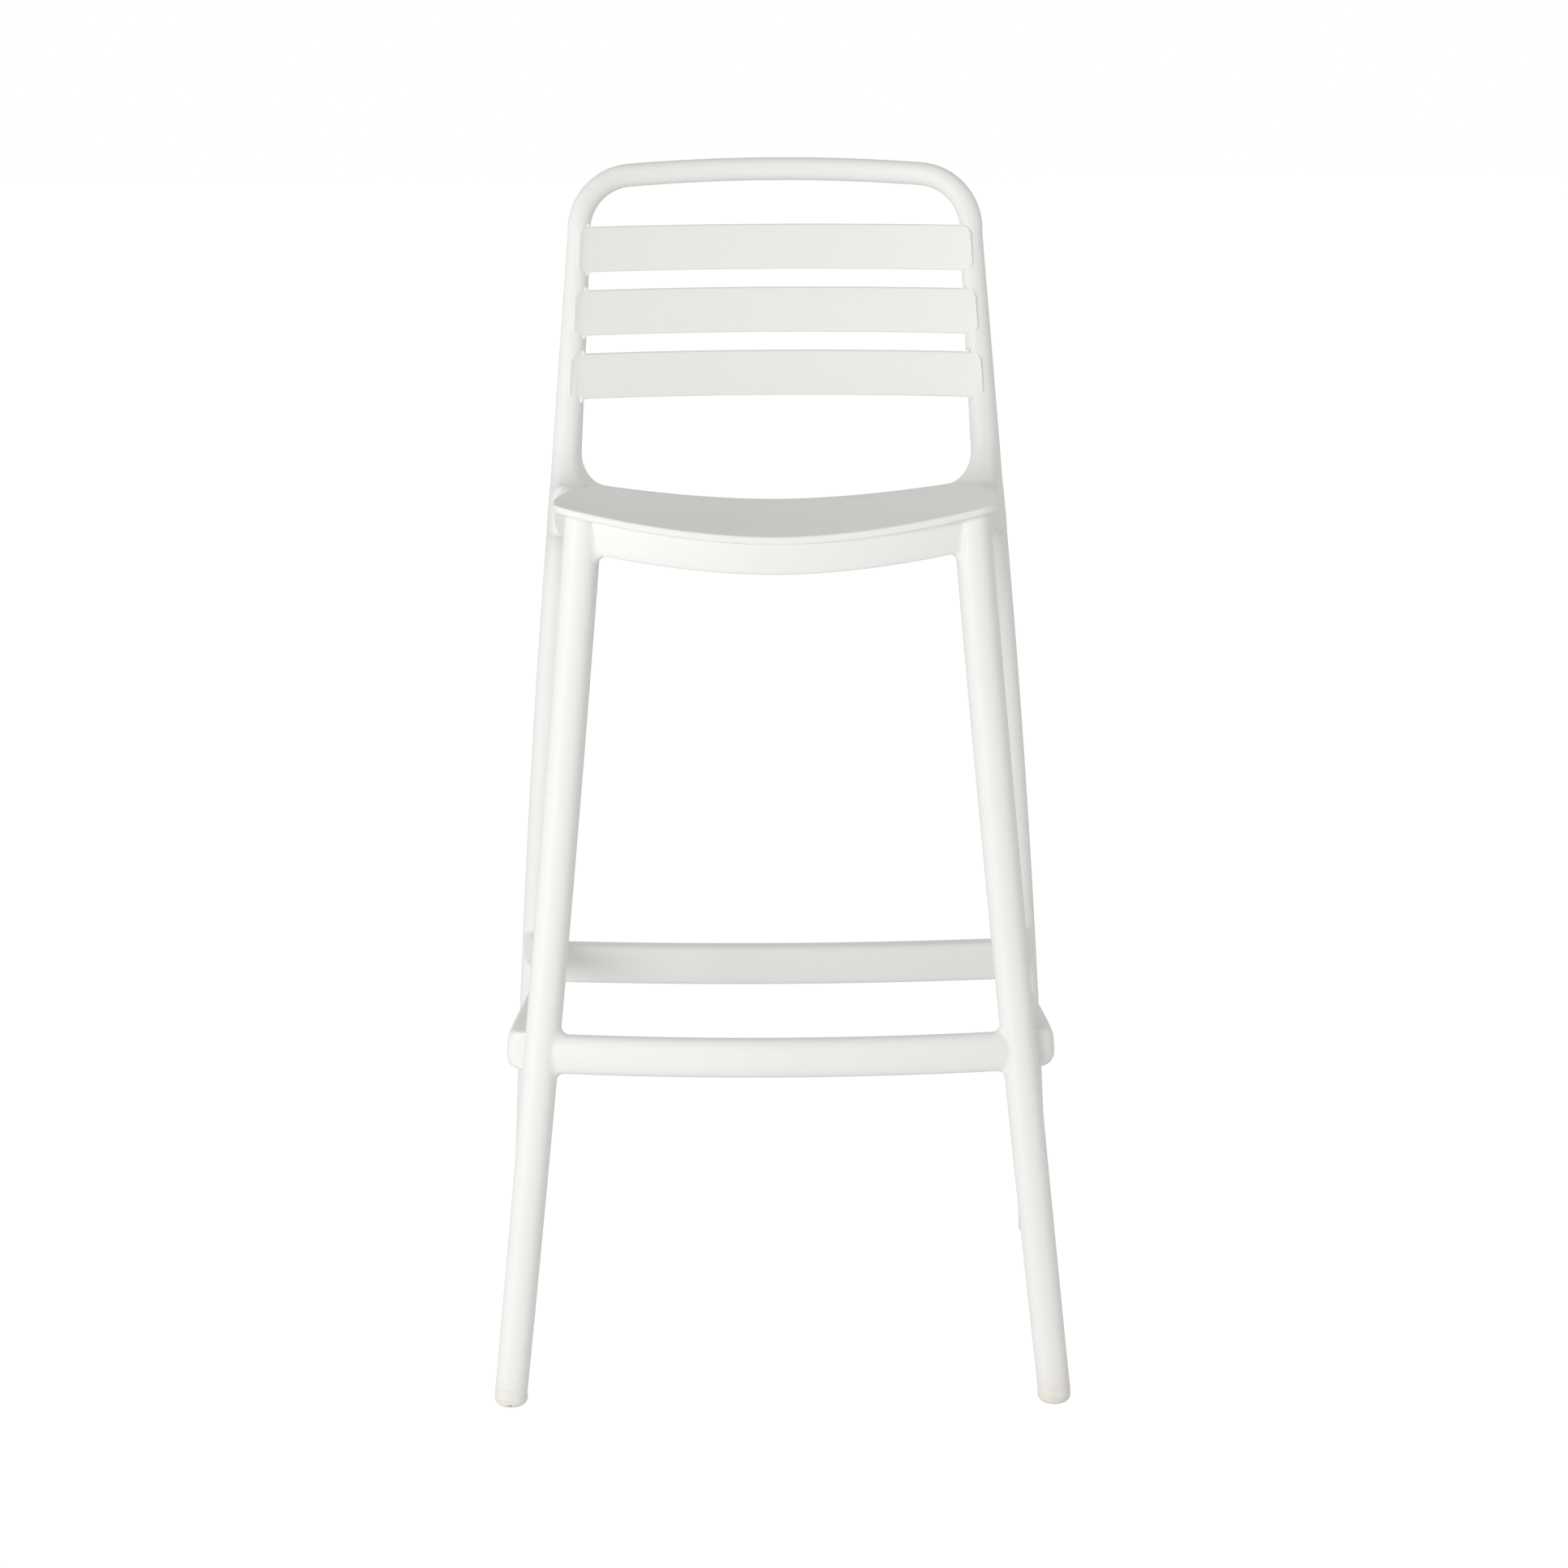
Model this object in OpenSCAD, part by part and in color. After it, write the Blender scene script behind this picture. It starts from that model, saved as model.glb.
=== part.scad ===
// Bar stool: a white moulded plastic frame with a saddle seat, three back slats, a hand hold under
// the top rail, and a ring of footrests. Each member of the frame is a solid of its own that meets
// its neighbours face to face. Millimetres, +Z up, the sitter looks along -Y, origin on the floor
// at the middle of the stool's footprint.

/* [Whole stool] */
// Height of the top rail at its middle
total_h = 1050; // [980:5:1120]
// Height of the seat's front edge at its middle
seat_h = 749.5; // [700:0.5:800]

/* [Front legs] */
// From the middle to a front leg's centre at the floor
front_foot_x = 236; // [220:1:250]
// From the middle to a front leg's centre under the seat
front_top_x = 165.5; // [158:0.5:170]
// How far forward a front leg's centre stands at the floor
front_foot_y = 249; // [235:1:260]
// How far forward a front leg's centre stands under the seat
front_top_y = 171; // [166:1:176]
// How far the front leg bows inwards at mid height
front_leg_bow = 2; // [0:0.5:6]
// Width of the front leg under the seat
front_leg_w = 32; // [28:0.5:35]
// Depth of the front leg under the seat
front_leg_d = 34; // [30:0.5:38]
// Width and depth of every leg at the foot
ankle_d = 28; // [26:0.5:29]

/* [Rear legs and back posts] */
// From the middle to a rear leg's centre at the floor
rear_foot_x = 249.5; // [240:0.5:262]
// From the middle to a rear leg's centre at seat height
rear_seat_x = 198; // [194:0.5:206]
// From the middle to a back post's centre where the top corner starts
post_top_x = 183.2; // [172:0.1:188]
// How far back a rear leg's centre stands at the floor
rear_foot_y = 231; // [215:1:245]
// How far back a rear leg's centre stands at seat height
rear_seat_y = 175.5; // [172:0.5:182]
// How far back a post's centre stands at the top rail's height
back_top_y = 224; // [205:0.5:250]
// How far the rear leg bows outwards at mid height
rear_leg_bow = 5.6; // [0:0.1:8]
// Half the height over which the rear leg bends into the post
knee_reach = 60; // [20:5:100]
// Width of the rear leg at seat height
rear_leg_w = 28.3; // [25:0.1:32]
// Depth of the rear leg at seat height
rear_leg_d = 31; // [27:0.5:36]
// Depth of the post where the top corner starts
post_top_d = 22; // [19:0.5:26]

/* [Top rail] */
// Thickness of the top rail, seen from the front
rail_t = 21.3; // [18:0.1:28]
// Depth of the top rail
rail_d = 21; // [18:0.5:26]
// Radius of the top corners, along the middle of the tube
corner_r = 50; // [36:1:56]
// How much higher the top rail is at its middle than at its corners
rail_crown = 4.8; // [0:0.2:8]
// How far the top rail and the slats bow backwards at their middle
back_bow = 28; // [5:1:36]

/* [Back slats] */
// Height of a slat
slat_h = 41.4; // [30:0.1:46]
// Thickness of a slat
slat_t = 8; // [6:0.5:10]
// How much higher a slat is at its middle than at its ends
slat_arch = 1; // [0:0.2:4]
// Gap between two slats
slat_gap = 16.8; // [10:0.2:24]
// Height of the hand hold between the top rail and the upper slat
grip_h = 41.1; // [34:0.1:50]
// How far a slat's end stays inside the post's outer edge
slat_inset = 11.7; // [9:0.1:14]
// How far a slat's end stands proud of the post
slat_proud = 1.5; // [0.5:0.1:3]
// Radius of a slat's four corners, seen from the front
slat_corner_r = 5; // [3:0.5:8]
// Radius along a slat's long edges
slat_edge_r = 2.5; // [1:0.1:2.8]

/* [Seat] */
// Half the seat's width at its front corners
seat_front_x = 190.5; // [184:0.5:196]
// Half the seat's width at its rear corners
seat_rear_x = 173; // [168:1:182]
// How far forward the front edge reaches at its middle
seat_front_y = 213; // [208:1:220]
// How far back the rear edge reaches at its middle
seat_rear_y = 172; // [165:1:176]
// How far the front edge falls back at the corners
seat_front_bow = 27; // [8:1:28]
// How far the rear edge comes forward at its corners
seat_rear_bow = 12; // [4:1:16]
// How far the seat's sides swell outwards between the corners
seat_side_bow = 10; // [0:0.5:12]
// Radius of the front corners
seat_front_r = 30; // [20:1:36]
// Radius of the rear corners
seat_rear_r = 16; // [10:1:24]
// Thickness of the seat panel
seat_t = 7; // [5:0.5:9]
// Squareness of the seat's edge: 2 is a full round
seat_nose_square = 3.4; // [2:0.1:5]
// How much lower the rear edge is than the front edge, at the middle
seat_fall = 13; // [4:0.5:16]
// Extra depth of the dish between the front and rear edges
seat_dip = 2.5; // [0:0.5:6]
// How much higher the front corners are than the middle of the front edge
seat_front_rise = 27; // [10:0.5:30]
// How much higher the rear corners are than the middle of the rear edge
seat_rear_rise = 16.5; // [8:0.5:22]
// How steeply the saddle turns up towards its sides: 2 is a parabola
saddle_power = 1.8; // [1.5:0.1:2.4]

/* [Seat frame] */
// Visible height of the front apron
apron_h = 26; // [20:1:34]
// How much higher the front apron's lower edge is at the legs than at its middle
apron_rise = 17; // [8:0.5:22]
// Thickness of the front apron
apron_t = 11; // [8:0.5:14]
// How far the front apron is set back under the seat's edge
apron_setback = 3.5; // [2:0.5:6]
// How far the front apron bows forwards at its middle
apron_bow = 27; // [10:1:29]
// Radius where the front apron's lower edge runs into the legs
apron_fillet = 8; // [4:0.5:12]
// Depth of the side bearers below the seat
bearer_h = 42; // [30:1:55]
// Width of the side bearers
bearer_w = 20; // [16:1:24]
// Radius where the side bearers run into the front legs
bearer_fillet = 22; // [12:1:30]
// How far the top of a side bearer stands above the middle of the seat's edge, at its rear end
bearer_crest = 2; // [0:0.5:8]
// How much wider a side bearer is at its rear end, towards the stool's middle
bearer_spread = 14; // [0:1:20]
// How far a rear leg swells forwards to meet the side bearer
toe_reach = 14; // [8:1:24]
// Height over which the front of the post flows down on to the side bearer
toe_h = 45; // [20:1:60]
// Height over which the lower edge of the side bearer flows down into the rear leg
toe_drop = 40; // [20:1:60]
// How far the side bearers bend inwards between the legs
bearer_bend = 4; // [0:0.5:8]
// Height of the rear bearer
rear_bearer_h = 30; // [22:1:38]
// Thickness of the rear bearer
rear_bearer_t = 22; // [18:0.5:26]
// Height of the fillet where the seat and the rear bearer turn up into the posts
back_corner_h = 31; // [20:1:40]
// How far the rear leg's knuckle reaches inwards under that fillet
knuckle_w = 28; // [18:1:34]
// Radius where the rear bearer's lower edge turns down into the rear legs
knuckle_r = 20; // [12:1:26]
// Thickness of the ribs under the seat
rib_t = 3; // [2:0.5:4]
// How far the ribs stay above the lower edge of the front apron
rib_clear = 2; // [1:0.5:8]
// Half the distance between the two long ribs
rib_x = 62; // [40:1:90]
// Distance between two cross ribs
rib_pitch = 100; // [60:5:110]

/* [Footrests] */
// Height of the front footrest's middle
front_rest_z = 305; // [250:0.5:340]
// Height of the front footrest, top to bottom
front_rest_h = 34; // [26:1:40]
// Thickness of the front footrest
front_rest_t = 22; // [16:0.5:26]
// How far the front footrest bows forwards
front_rest_bow = 20; // [5:1:28]
// Height of the rear rail's middle
rear_rest_z = 283.5; // [250:0.5:320]
// Height of the rear rail, top to bottom
rear_rest_h = 38; // [26:1:40]
// Thickness of the rear rail
rear_rest_t = 25; // [14:0.5:27]
// How far the rear rail bows forwards, into the stool
rear_rest_bow = 17; // [5:1:26]
// Radius where the front footrest and the rear rail run into the legs
rest_fillet = 7; // [4:0.5:9]
// Height of a side footrest's middle at its front end
side_rest_front_z = 303; // [250:0.5:340]
// Height of a side footrest's middle at its rear end
side_rest_rear_z = 299; // [250:0.5:340]
// Height of a side footrest, top to bottom
side_rest_h = 34; // [26:1:38]
// Thickness of a side footrest at its middle
side_rest_t = 16.4; // [14:0.2:20]
// How much thicker a side footrest is where it clasps the front leg
side_rest_clasp = 10.6; // [4:0.2:12]
// How much thicker a side footrest is where it meets the rear leg
side_rest_grip = 7.6; // [2:0.2:10]
// How far behind the front leg's middle a side footrest begins
side_rest_start = 7.5; // [3:0.5:9]
// Radius of the side footrests' outer front corners, seen from above
side_rest_nose = 11; // [5:1:14]
// How far outside the line between the legs the front end stands
side_rest_out = 16.5; // [12:0.5:19]
// Inward pull of the side footrest's curve
side_rest_in = 22; // [10:1:30]
// How far outside the line between the legs the rear end stands
side_rest_flare = 5; // [0:0.5:8]

/* [Feet] */
// Diameter of a foot
foot_d = 28.8; // [28:0.1:34]
// Height of a foot below the leg's end
foot_h = 12; // [9:0.5:16]
// Radius of a foot's lower edge
foot_edge_r = 7; // [3:0.5:8]
// Diameter of the foot's spigot
spigot_d = 12; // [8:0.5:15]
// Length of the foot's spigot inside the leg
spigot_l = 22; // [14:1:30]
// Clearance between the spigot and its bore, all round
spigot_gap = 0.1; // [0.05:0.05:0.3]

/* [Hidden] */

// Sides of a leg's ring and of a rail's ring
leg_sides = 20;
rail_sides = 16;
// Squareness of the legs' ovals: 2 is a true ellipse
leg_square = 2.3;
// How far a cutting solid runs past what it trims
past = 20;
// Smoothness of the turned feet and bores
$fn = 32;

// Height of the top rail's middle line at its corners
rail_z = total_h - rail_t / 2 - rail_crown;
// Where the corner's circle has its centre, and where the post hands over to it
corner_z = rail_z - corner_r;
corner_x = post_top_x - corner_r;
// Heights between which the rear leg swells to take the bearers
knuckle_high = seat_h - seat_fall + seat_rear_rise - seat_t / 2 - 1;
knuckle_low = knuckle_high - seat_t - rear_bearer_h;
post_slope_y = (back_top_y - rear_seat_y) / (rail_z - seat_h);
post_lean = (rear_seat_x - post_top_x) / (corner_z - seat_h);
// Height of the upper slat's middle
upper_slat_z = total_h - rail_t - grip_h - slat_h / 2;
seat_len = seat_front_y + seat_rear_y;

// Straight blend between two values
function lerp(a, b, t) = a + (b - a) * t;
// The same with a parabolic bow that is widest at the middle
function bowed(a, b, bow, t) = lerp(a, b, t) + 4 * bow * t * (1 - t);
// Two slopes joined at u = 0 by a parabola that reaches r to each side
function knee(u, s1, s2, r) =
    u < -r ? s1 * u : u > r ? s2 * u : (s1 + s2) / 2 * u + (s2 - s1) / (4 * r) * (u * u + r * r);
// What a fillet of radius r adds at a distance s from the wall it runs into
function fillet(s, r) = s <= 0 ? r : s >= r ? 0 : r - sqrt(r * r - (r - s) * (r - s));
// Power that keeps the sign
function spow(c, e) = sign(c) * pow(abs(c), e);
// Cubic curve through its end values, drawn towards two handles
function handles(a, b, c, d, t) =
    a * pow(1 - t, 3) + 3 * b * t * pow(1 - t, 2) + 3 * c * t * t * (1 - t) + d * pow(t, 3);

// Oval ring with half sizes a and b. The squareness may differ above and below its middle.
function oval(a, b, upper, lower, n) = [
    for (i = [0 : n - 1])
        let (t = 360 * i / n, e = 2 / (sin(t) >= 0 ? upper : lower))
            [a * spow(cos(t), e), b * spow(sin(t), e)]
];
// Oval ring whose reach differs on its four sides
function lobed(left, right, front, back, n) = [
    for (i = [0 : n - 1])
        let (t = 360 * i / n, e = 2 / leg_square)
            [
                (cos(t) >= 0 ? right : left) * spow(cos(t), e),
                (sin(t) >= 0 ? back : front) * spow(sin(t), e)
            ]
];
// Rectangle ring with half sizes a and b and rounded corners
function rounded(a, b, r) = [
    for (q = [0 : 3], j = [0 : 3])
        let (t = 90 * q + 30 * j, sx = q == 0 || q == 3 ? 1 : -1, sy = q < 2 ? 1 : -1)
            [sx * (a - r) + r * cos(t), sy * (b - r) + r * sin(t)]
];
// A flat ring set in space at c, along the directions u and v
function placed(ring, c, u, v) = [for (p = ring) c + p[0] * u + p[1] * v];
function middle(ring) = [for (k = [0 : 2]) let (v = [for (p = ring) p[k]]) v * [for (p = ring) 1] / len(v)];

// Closed solid whose skin joins one ring of points to the next
module skin(rings) {
    n = len(rings[0]);
    m = len(rings);
    points = [for (r = rings) each r, middle(rings[0]), middle(rings[m - 1])];
    walls = [
        for (i = [0 : m - 2], j = [0 : n - 1])
            let (a = i * n + j, b = i * n + (j + 1) % n)
                each [[a, a + n, b], [b, a + n, b + n]]
    ];
    ends = [
        for (j = [0 : n - 1])
            let (k = (j + 1) % n)
                each [[m * n, j, k], [m * n + 1, (m - 1) * n + k, (m - 1) * n + j]]
    ];
    polyhedron(points, concat(walls, ends), convexity = 6);
}

// Draws its children as they are for the right side, or mirrored for the left
module side(s) {
    if (s > 0) children();
    else mirror([1, 0, 0]) children();
}

// Centre of a front leg at a height
function front_leg_c(z) =
    let (t = 1 - z / seat_h) [
        bowed(front_top_x, front_foot_x, -front_leg_bow, t),
        -bowed(front_top_y, front_foot_y, -front_leg_bow, t),
        z
    ];
// Half sizes of a front leg at a height
function front_leg_half(z) =
    let (t = max(0, 1 - z / seat_h))
        [lerp(front_leg_w, ankle_d, pow(t, 1.7)) / 2, lerp(front_leg_d, ankle_d, t) / 2];

// Centre of a rear leg, and of the post above it, at a height
function rear_leg_c(z) =
    let (t = 1 - z / seat_h, u = z - seat_h) [
        u < 0 ? bowed(rear_seat_x, rear_foot_x, rear_leg_bow, t) : rear_seat_x - post_lean * u,
        rear_seat_y + knee(u, (rear_seat_y - rear_foot_y) / seat_h, post_slope_y, knee_reach),
        z
    ];
// Half sizes of a rear leg, and of the post above it, at a height
function rear_leg_half(z) =
    let (t = z / seat_h, u = (z - seat_h) / (corner_z - seat_h))
        u < 0
            ? [lerp(ankle_d, rear_leg_w, t) / 2, lerp(ankle_d, rear_leg_d, t) / 2]
            : [lerp(rear_leg_w, rail_t, u) / 2, lerp(rear_leg_d, post_top_d, u) / 2];

function leg_ring(c, half) =
    placed(oval(half[0], half[1], leg_square, leg_square, leg_sides), c, [1, 0, 0], [0, 1, 0]);

// A front leg before the seat and the foot's bore are cut from it
module front_leg_body() {
    skin([
        for (i = [0 : 10])
            let (z = lerp(foot_h, seat_h + seat_front_rise + past, i / 10))
                leg_ring(front_leg_c(z), front_leg_half(z))
    ]);
}

// Share of a rear leg's swelling at a height: all of it between two heights, and along a quarter
// round of height r below them and of height h above them
function swell(z, low, r, high, h) = z > high ? fillet(z - high, h) / h : fillet(low - z, r) / r;

// A rear leg and its post before the seat, the slats and the foot's bore are cut from them. At the
// seat the leg swells inwards to the rear bearer and forwards to the side bearer.
module rear_leg_body() {
    crest = seat_top(seat_front_x, rear_seat_y) - seat_t / 2 - 1 + bearer_crest;
    belly = seat_top(seat_front_x, rear_seat_y) - seat_t - bearer_h;
    lower = min(belly - toe_drop, knuckle_low - knuckle_r);
    upper = max(crest + toe_h, knuckle_high + back_corner_h);
    heights = [
        for (i = [0 : 4]) lerp(foot_h, lower, i / 5),
        for (a = [0 : 15 : 90]) lerp(lower, knuckle_low, sin(a)),
        for (a = [0 : 10 : 80]) lerp(knuckle_high, upper, 1 - cos(a)),
        for (i = [0 : 4]) lerp(upper, corner_z, i / 4)
    ];
    skin([
        for (z = heights)
            let (
                half = rear_leg_half(z),
                inwards = knuckle_w * swell(z, knuckle_low, knuckle_r, knuckle_high, back_corner_h),
                forwards = toe_reach * swell(z, belly, toe_drop, crest, toe_h)
            )
                placed(lobed(half[0] + inwards, half[0], half[1] + forwards, half[1], leg_sides),
                    rear_leg_c(z), [1, 0, 0], [0, 1, 0])
    ]);
}

// Upright bore in a leg's lower end for the foot's spigot. The leg leans but the bore doesn't, so
// the foot pushes straight in, and c lies where the spigot stays in the middle of the leg.
module foot_bore(c) {
    translate([c[0], c[1], foot_h - 1])
        cylinder(d = spigot_d + 2 * spigot_gap, h = spigot_l + 2);
}

module front_leg(s) {
    side(s) difference() {
        front_leg_body();
        above_seat();
        foot_bore(front_leg_c(foot_h));
    }
}

module rear_leg(s) {
    side(s) difference() {
        rear_leg_body();
        seat_panel();
        for (i = [0 : 2]) slat(i);
        foot_bore(rear_leg_c(foot_h));
    }
}

// A foot: a turned cap with a flat sole and a chamfered spigot that goes up into the leg
module foot(c) {
    r = foot_d / 2;
    e = foot_edge_r;
    p = spigot_d / 2;
    translate([c[0], c[1], 0])
        rotate_extrude()
            polygon([
                [0, 0],
                for (a = [-90 : 22.5 : 0]) [r - e + e * cos(a), e + e * sin(a)],
                [r, foot_h],
                [p, foot_h],
                [p, foot_h + spigot_l - 1],
                [p - 1, foot_h + spigot_l],
                [0, foot_h + spigot_l]
            ]);
}

module front_foot(s) {
    side(s) foot(front_leg_c(foot_h));
}

module rear_foot(s) {
    side(s) foot(rear_leg_c(foot_h));
}

// How far back the top rail stands at a distance x from the middle and a height z
function rail_y(x, z) = rear_leg_c(z)[1] + back_bow * max(0, 1 - pow(x / post_top_x, 2));
function corner_ring(a) =
    let (
        x = corner_x + corner_r * cos(a),
        z = corner_z + corner_r * sin(a),
        depth = lerp(post_top_d, rail_d, a / 90)
    )
        placed(oval(rail_t / 2, depth / 2, leg_square, leg_square, leg_sides),
            [x, rail_y(x, z), z], [cos(a), 0, sin(a)], [0, 1, 0]);
function crown_ring(x) =
    let (z = rail_z + rail_crown * (1 - pow(x / corner_x, 2)))
        placed(oval(rail_t / 2, rail_d / 2, leg_square, leg_square, leg_sides),
            [x, rail_y(x, z), z], [0, 0, 1], [0, 1, 0]);

module top_rail() {
    difference() {
        top_rail_body();
        slat(0);
    }
}

// The top rail before the upper slat's ends are let into it
module top_rail_body() {
    corner_steps = 8;
    crown_steps = 8;
    right = [for (i = [0 : corner_steps]) corner_ring(90 * i / corner_steps)];
    crown = [for (i = [1 : crown_steps - 1]) crown_ring(lerp(corner_x, -corner_x, i / crown_steps))];
    left = [
        for (i = [corner_steps : -1 : 0])
            [for (p = corner_ring(90 * i / corner_steps)) [-p[0], p[1], p[2]]]
    ];
    skin(concat(right, crown, left));
}

// A slat, counted from the top. It is bowed backwards and leans with the posts, and its rounded
// ends lie in recesses in the fronts of the posts.
module slat(i) {
    z = upper_slat_z - i * (slat_h + slat_gap);
    c = rear_leg_c(z);
    half = rear_leg_half(z);
    end_x = c[0] + half[0] - slat_inset;
    end_y = c[1] - half[1] - slat_proud + slat_t / 2;
    r = slat_corner_r;
    turn = [for (a = [0 : 30 : 90]) [end_x - r + r * cos(a), slat_h / 2 - r + r * sin(a)]];
    steps = 12;
    inner_x = end_x - r;
    left = [for (k = [0 : 3]) [-turn[k][0], turn[k][1]]];
    span = [for (k = [1 : steps - 1]) [lerp(-inner_x, inner_x, k / steps), slat_h / 2]];
    right = [for (k = [3 : -1 : 0]) turn[k]];
    skin([
        for (p = concat(left, span, right))
            placed(rounded(slat_t / 2, p[1], slat_edge_r),
                [p[0], end_y + back_bow * (1 - pow(p[0] / end_x, 2)),
                    z + slat_arch * (1 - pow(p[0] / end_x, 2))],
                [0, 1, 0], [-post_lean * p[0] / end_x, post_slope_y, 1])
    ]);
}

// Seat: how far a point lies from the front edge to the rear edge, from 0 to 1
function seat_share(y) = (y + seat_front_y) / seat_len;
// Height of the saddle's top at a place on it
function seat_top(x, y) =
    let (
        t = seat_share(y),
        p = saddle_power,
        rise = lerp(seat_front_rise / pow(seat_front_x, p), seat_rear_rise / pow(seat_rear_x, p), t)
    )
        seat_h - seat_fall * t - 4 * seat_dip * t * (1 - t) + rise * pow(abs(x), p);
// Front and rear edges, seen from above
function front_edge_y(x) = -seat_front_y + seat_front_bow * pow(x / seat_front_x, 2);
function rear_edge_y(x) = seat_rear_y - seat_rear_bow * pow(x / seat_rear_x, 2);

// The right half of the seat's outline, seen from above, from front to rear
function seat_half_outline() =
    let (
        rf = seat_front_r,
        rr = seat_rear_r,
        slope_f = atan(2 * seat_front_bow * (seat_front_x - rf) / pow(seat_front_x, 2)),
        slope_r = atan(2 * seat_rear_bow * (seat_rear_x - rr) / pow(seat_rear_x, 2)),
        xf = seat_front_x - rf + rf * sin(slope_f),
        xr = seat_rear_x - rr + rr * sin(slope_r),
        cf = [xf, front_edge_y(xf)] + rf * [-sin(slope_f), cos(slope_f)],
        cr = [xr, rear_edge_y(xr)] + rr * [-sin(slope_r), -cos(slope_r)],
        steps = 6
    )
        [
            for (i = [0 : steps - 1]) let (x = xf * i / steps) [x, front_edge_y(x)],
            for (i = [0 : 5]) let (a = lerp(slope_f - 90, 0, i / 5)) cf + rf * [cos(a), sin(a)],
            for (i = [1 : 5])
                [bowed(cf[0] + rf, cr[0] + rr, seat_side_bow, i / 6), lerp(cf[1], cr[1], i / 6)],
            for (i = [0 : 4]) let (a = lerp(0, 90 - slope_r, i / 4)) cr + rr * [cos(a), sin(a)],
            for (i = [1 : 4]) let (x = xr * (1 - i / 4)) [x, rear_edge_y(x)]
        ];
function seat_outline() =
    let (half = seat_half_outline(), n = len(half))
        concat(half, [for (i = [n - 2 : -1 : 1]) [-half[i][0], half[i][1]]]);
// The outline drawn in towards the seat's middle by a share, at a depth below the saddle's top
function seat_ring(share, depth) =
    let (my = (seat_rear_y - seat_front_y) / 2) [
        for (p = seat_outline())
            let (x = p[0] * share, y = my + (p[1] - my) * share) [x, y, seat_top(x, y) - depth]
    ];
// Share that draws the outline in by a distance
function inset_share(d) = 1 - d / seat_front_x;
seat_shares = [0.25, 0.5, 0.75, 0.92];
nose = seat_t / 2;

module seat_panel() {
    lower = [for (s = seat_shares) seat_ring(s, seat_t)];
    e = 2 / seat_nose_square;
    edge = [
        for (a = [-90 : 30 : 90])
            seat_ring(inset_share(nose * (1 - spow(cos(a), e))), nose * (1 - spow(sin(a), e)))
    ];
    upper = [for (i = [len(seat_shares) - 1 : -1 : 0]) seat_ring(seat_shares[i], 0)];
    skin(concat(lower, edge, upper));
}

// Everything above the underside of the seat, to trim what carries it
module above_seat() {
    lower = [for (s = seat_shares) seat_ring(s, seat_t)];
    rim = [seat_ring(inset_share(nose), seat_t), seat_ring(inset_share(-3 * past), seat_t)];
    raised = [seat_ring(inset_share(-3 * past), -3 * past), seat_ring(seat_shares[0], -3 * past)];
    skin(concat(lower, rim, raised));
}

// Height of the front apron's lower edge, and how far forward its face stands
function apron_face_y(x) = -seat_front_y + apron_setback + apron_bow * pow(x / front_top_x, 2);
function apron_low_z(x) = seat_h - seat_t - apron_h + apron_rise * pow(abs(x) / front_top_x, saddle_power);

// The front apron before the legs and the seat are cut from it
module front_apron_body() {
    wall_z = apron_low_z(front_top_x);
    wall_x = front_leg_c(wall_z)[0] - front_leg_half(wall_z)[0];
    lean = front_leg_c(wall_z + 1)[0] - front_leg_c(wall_z)[0];
    r = apron_fillet;
    reach = [-r, 0, 0.1 * r, 0.3 * r, 0.6 * r, r];
    steps = 12;
    xs = [
        for (d = reach) d - wall_x,
        for (i = [1 : steps - 1]) lerp(r - wall_x, wall_x - r, i / steps),
        for (i = [len(reach) - 1 : -1 : 0]) wall_x - reach[i]
    ];
    skin([
        for (x = xs)
            let (
                low = apron_low_z(x) - fillet(wall_x - abs(x), r),
                high = seat_top(x, front_edge_y(x)) - seat_t / 2
            )
                placed(rounded(apron_t / 2, (high - low) / 2, 3),
                    [x, apron_face_y(x) + apron_t / 2, (high + low) / 2], [0, 1, 0],
                    [lean * x / wall_x, 0, 1])
    ]);
}

module front_apron() {
    difference() {
        front_apron_body();
        above_seat();
        for (s = [-1, 1]) side(s) front_leg_body();
    }
}

// The rear bearer follows the seat's rear edge from one knuckle to the other
module rear_bearer_body() {
    steps = 14;
    y = seat_rear_y - 1.5;
    skin([
        for (i = [0 : steps])
            let (x = lerp(-rear_seat_x, rear_seat_x, i / steps))
                placed(oval(rear_bearer_t / 2, rear_bearer_h / 2, 3, 3, rail_sides),
                    [x, y, seat_top(min(abs(x), seat_rear_x), seat_rear_y) - seat_t / 2
                        - rear_bearer_h / 2],
                    [0, 1, 0], [0, 0, 1])
    ]);
}

module rear_bearer() {
    difference() {
        rear_bearer_body();
        seat_panel();
        for (s = [-1, 1]) side(s) rear_leg_body();
    }
}

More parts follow.
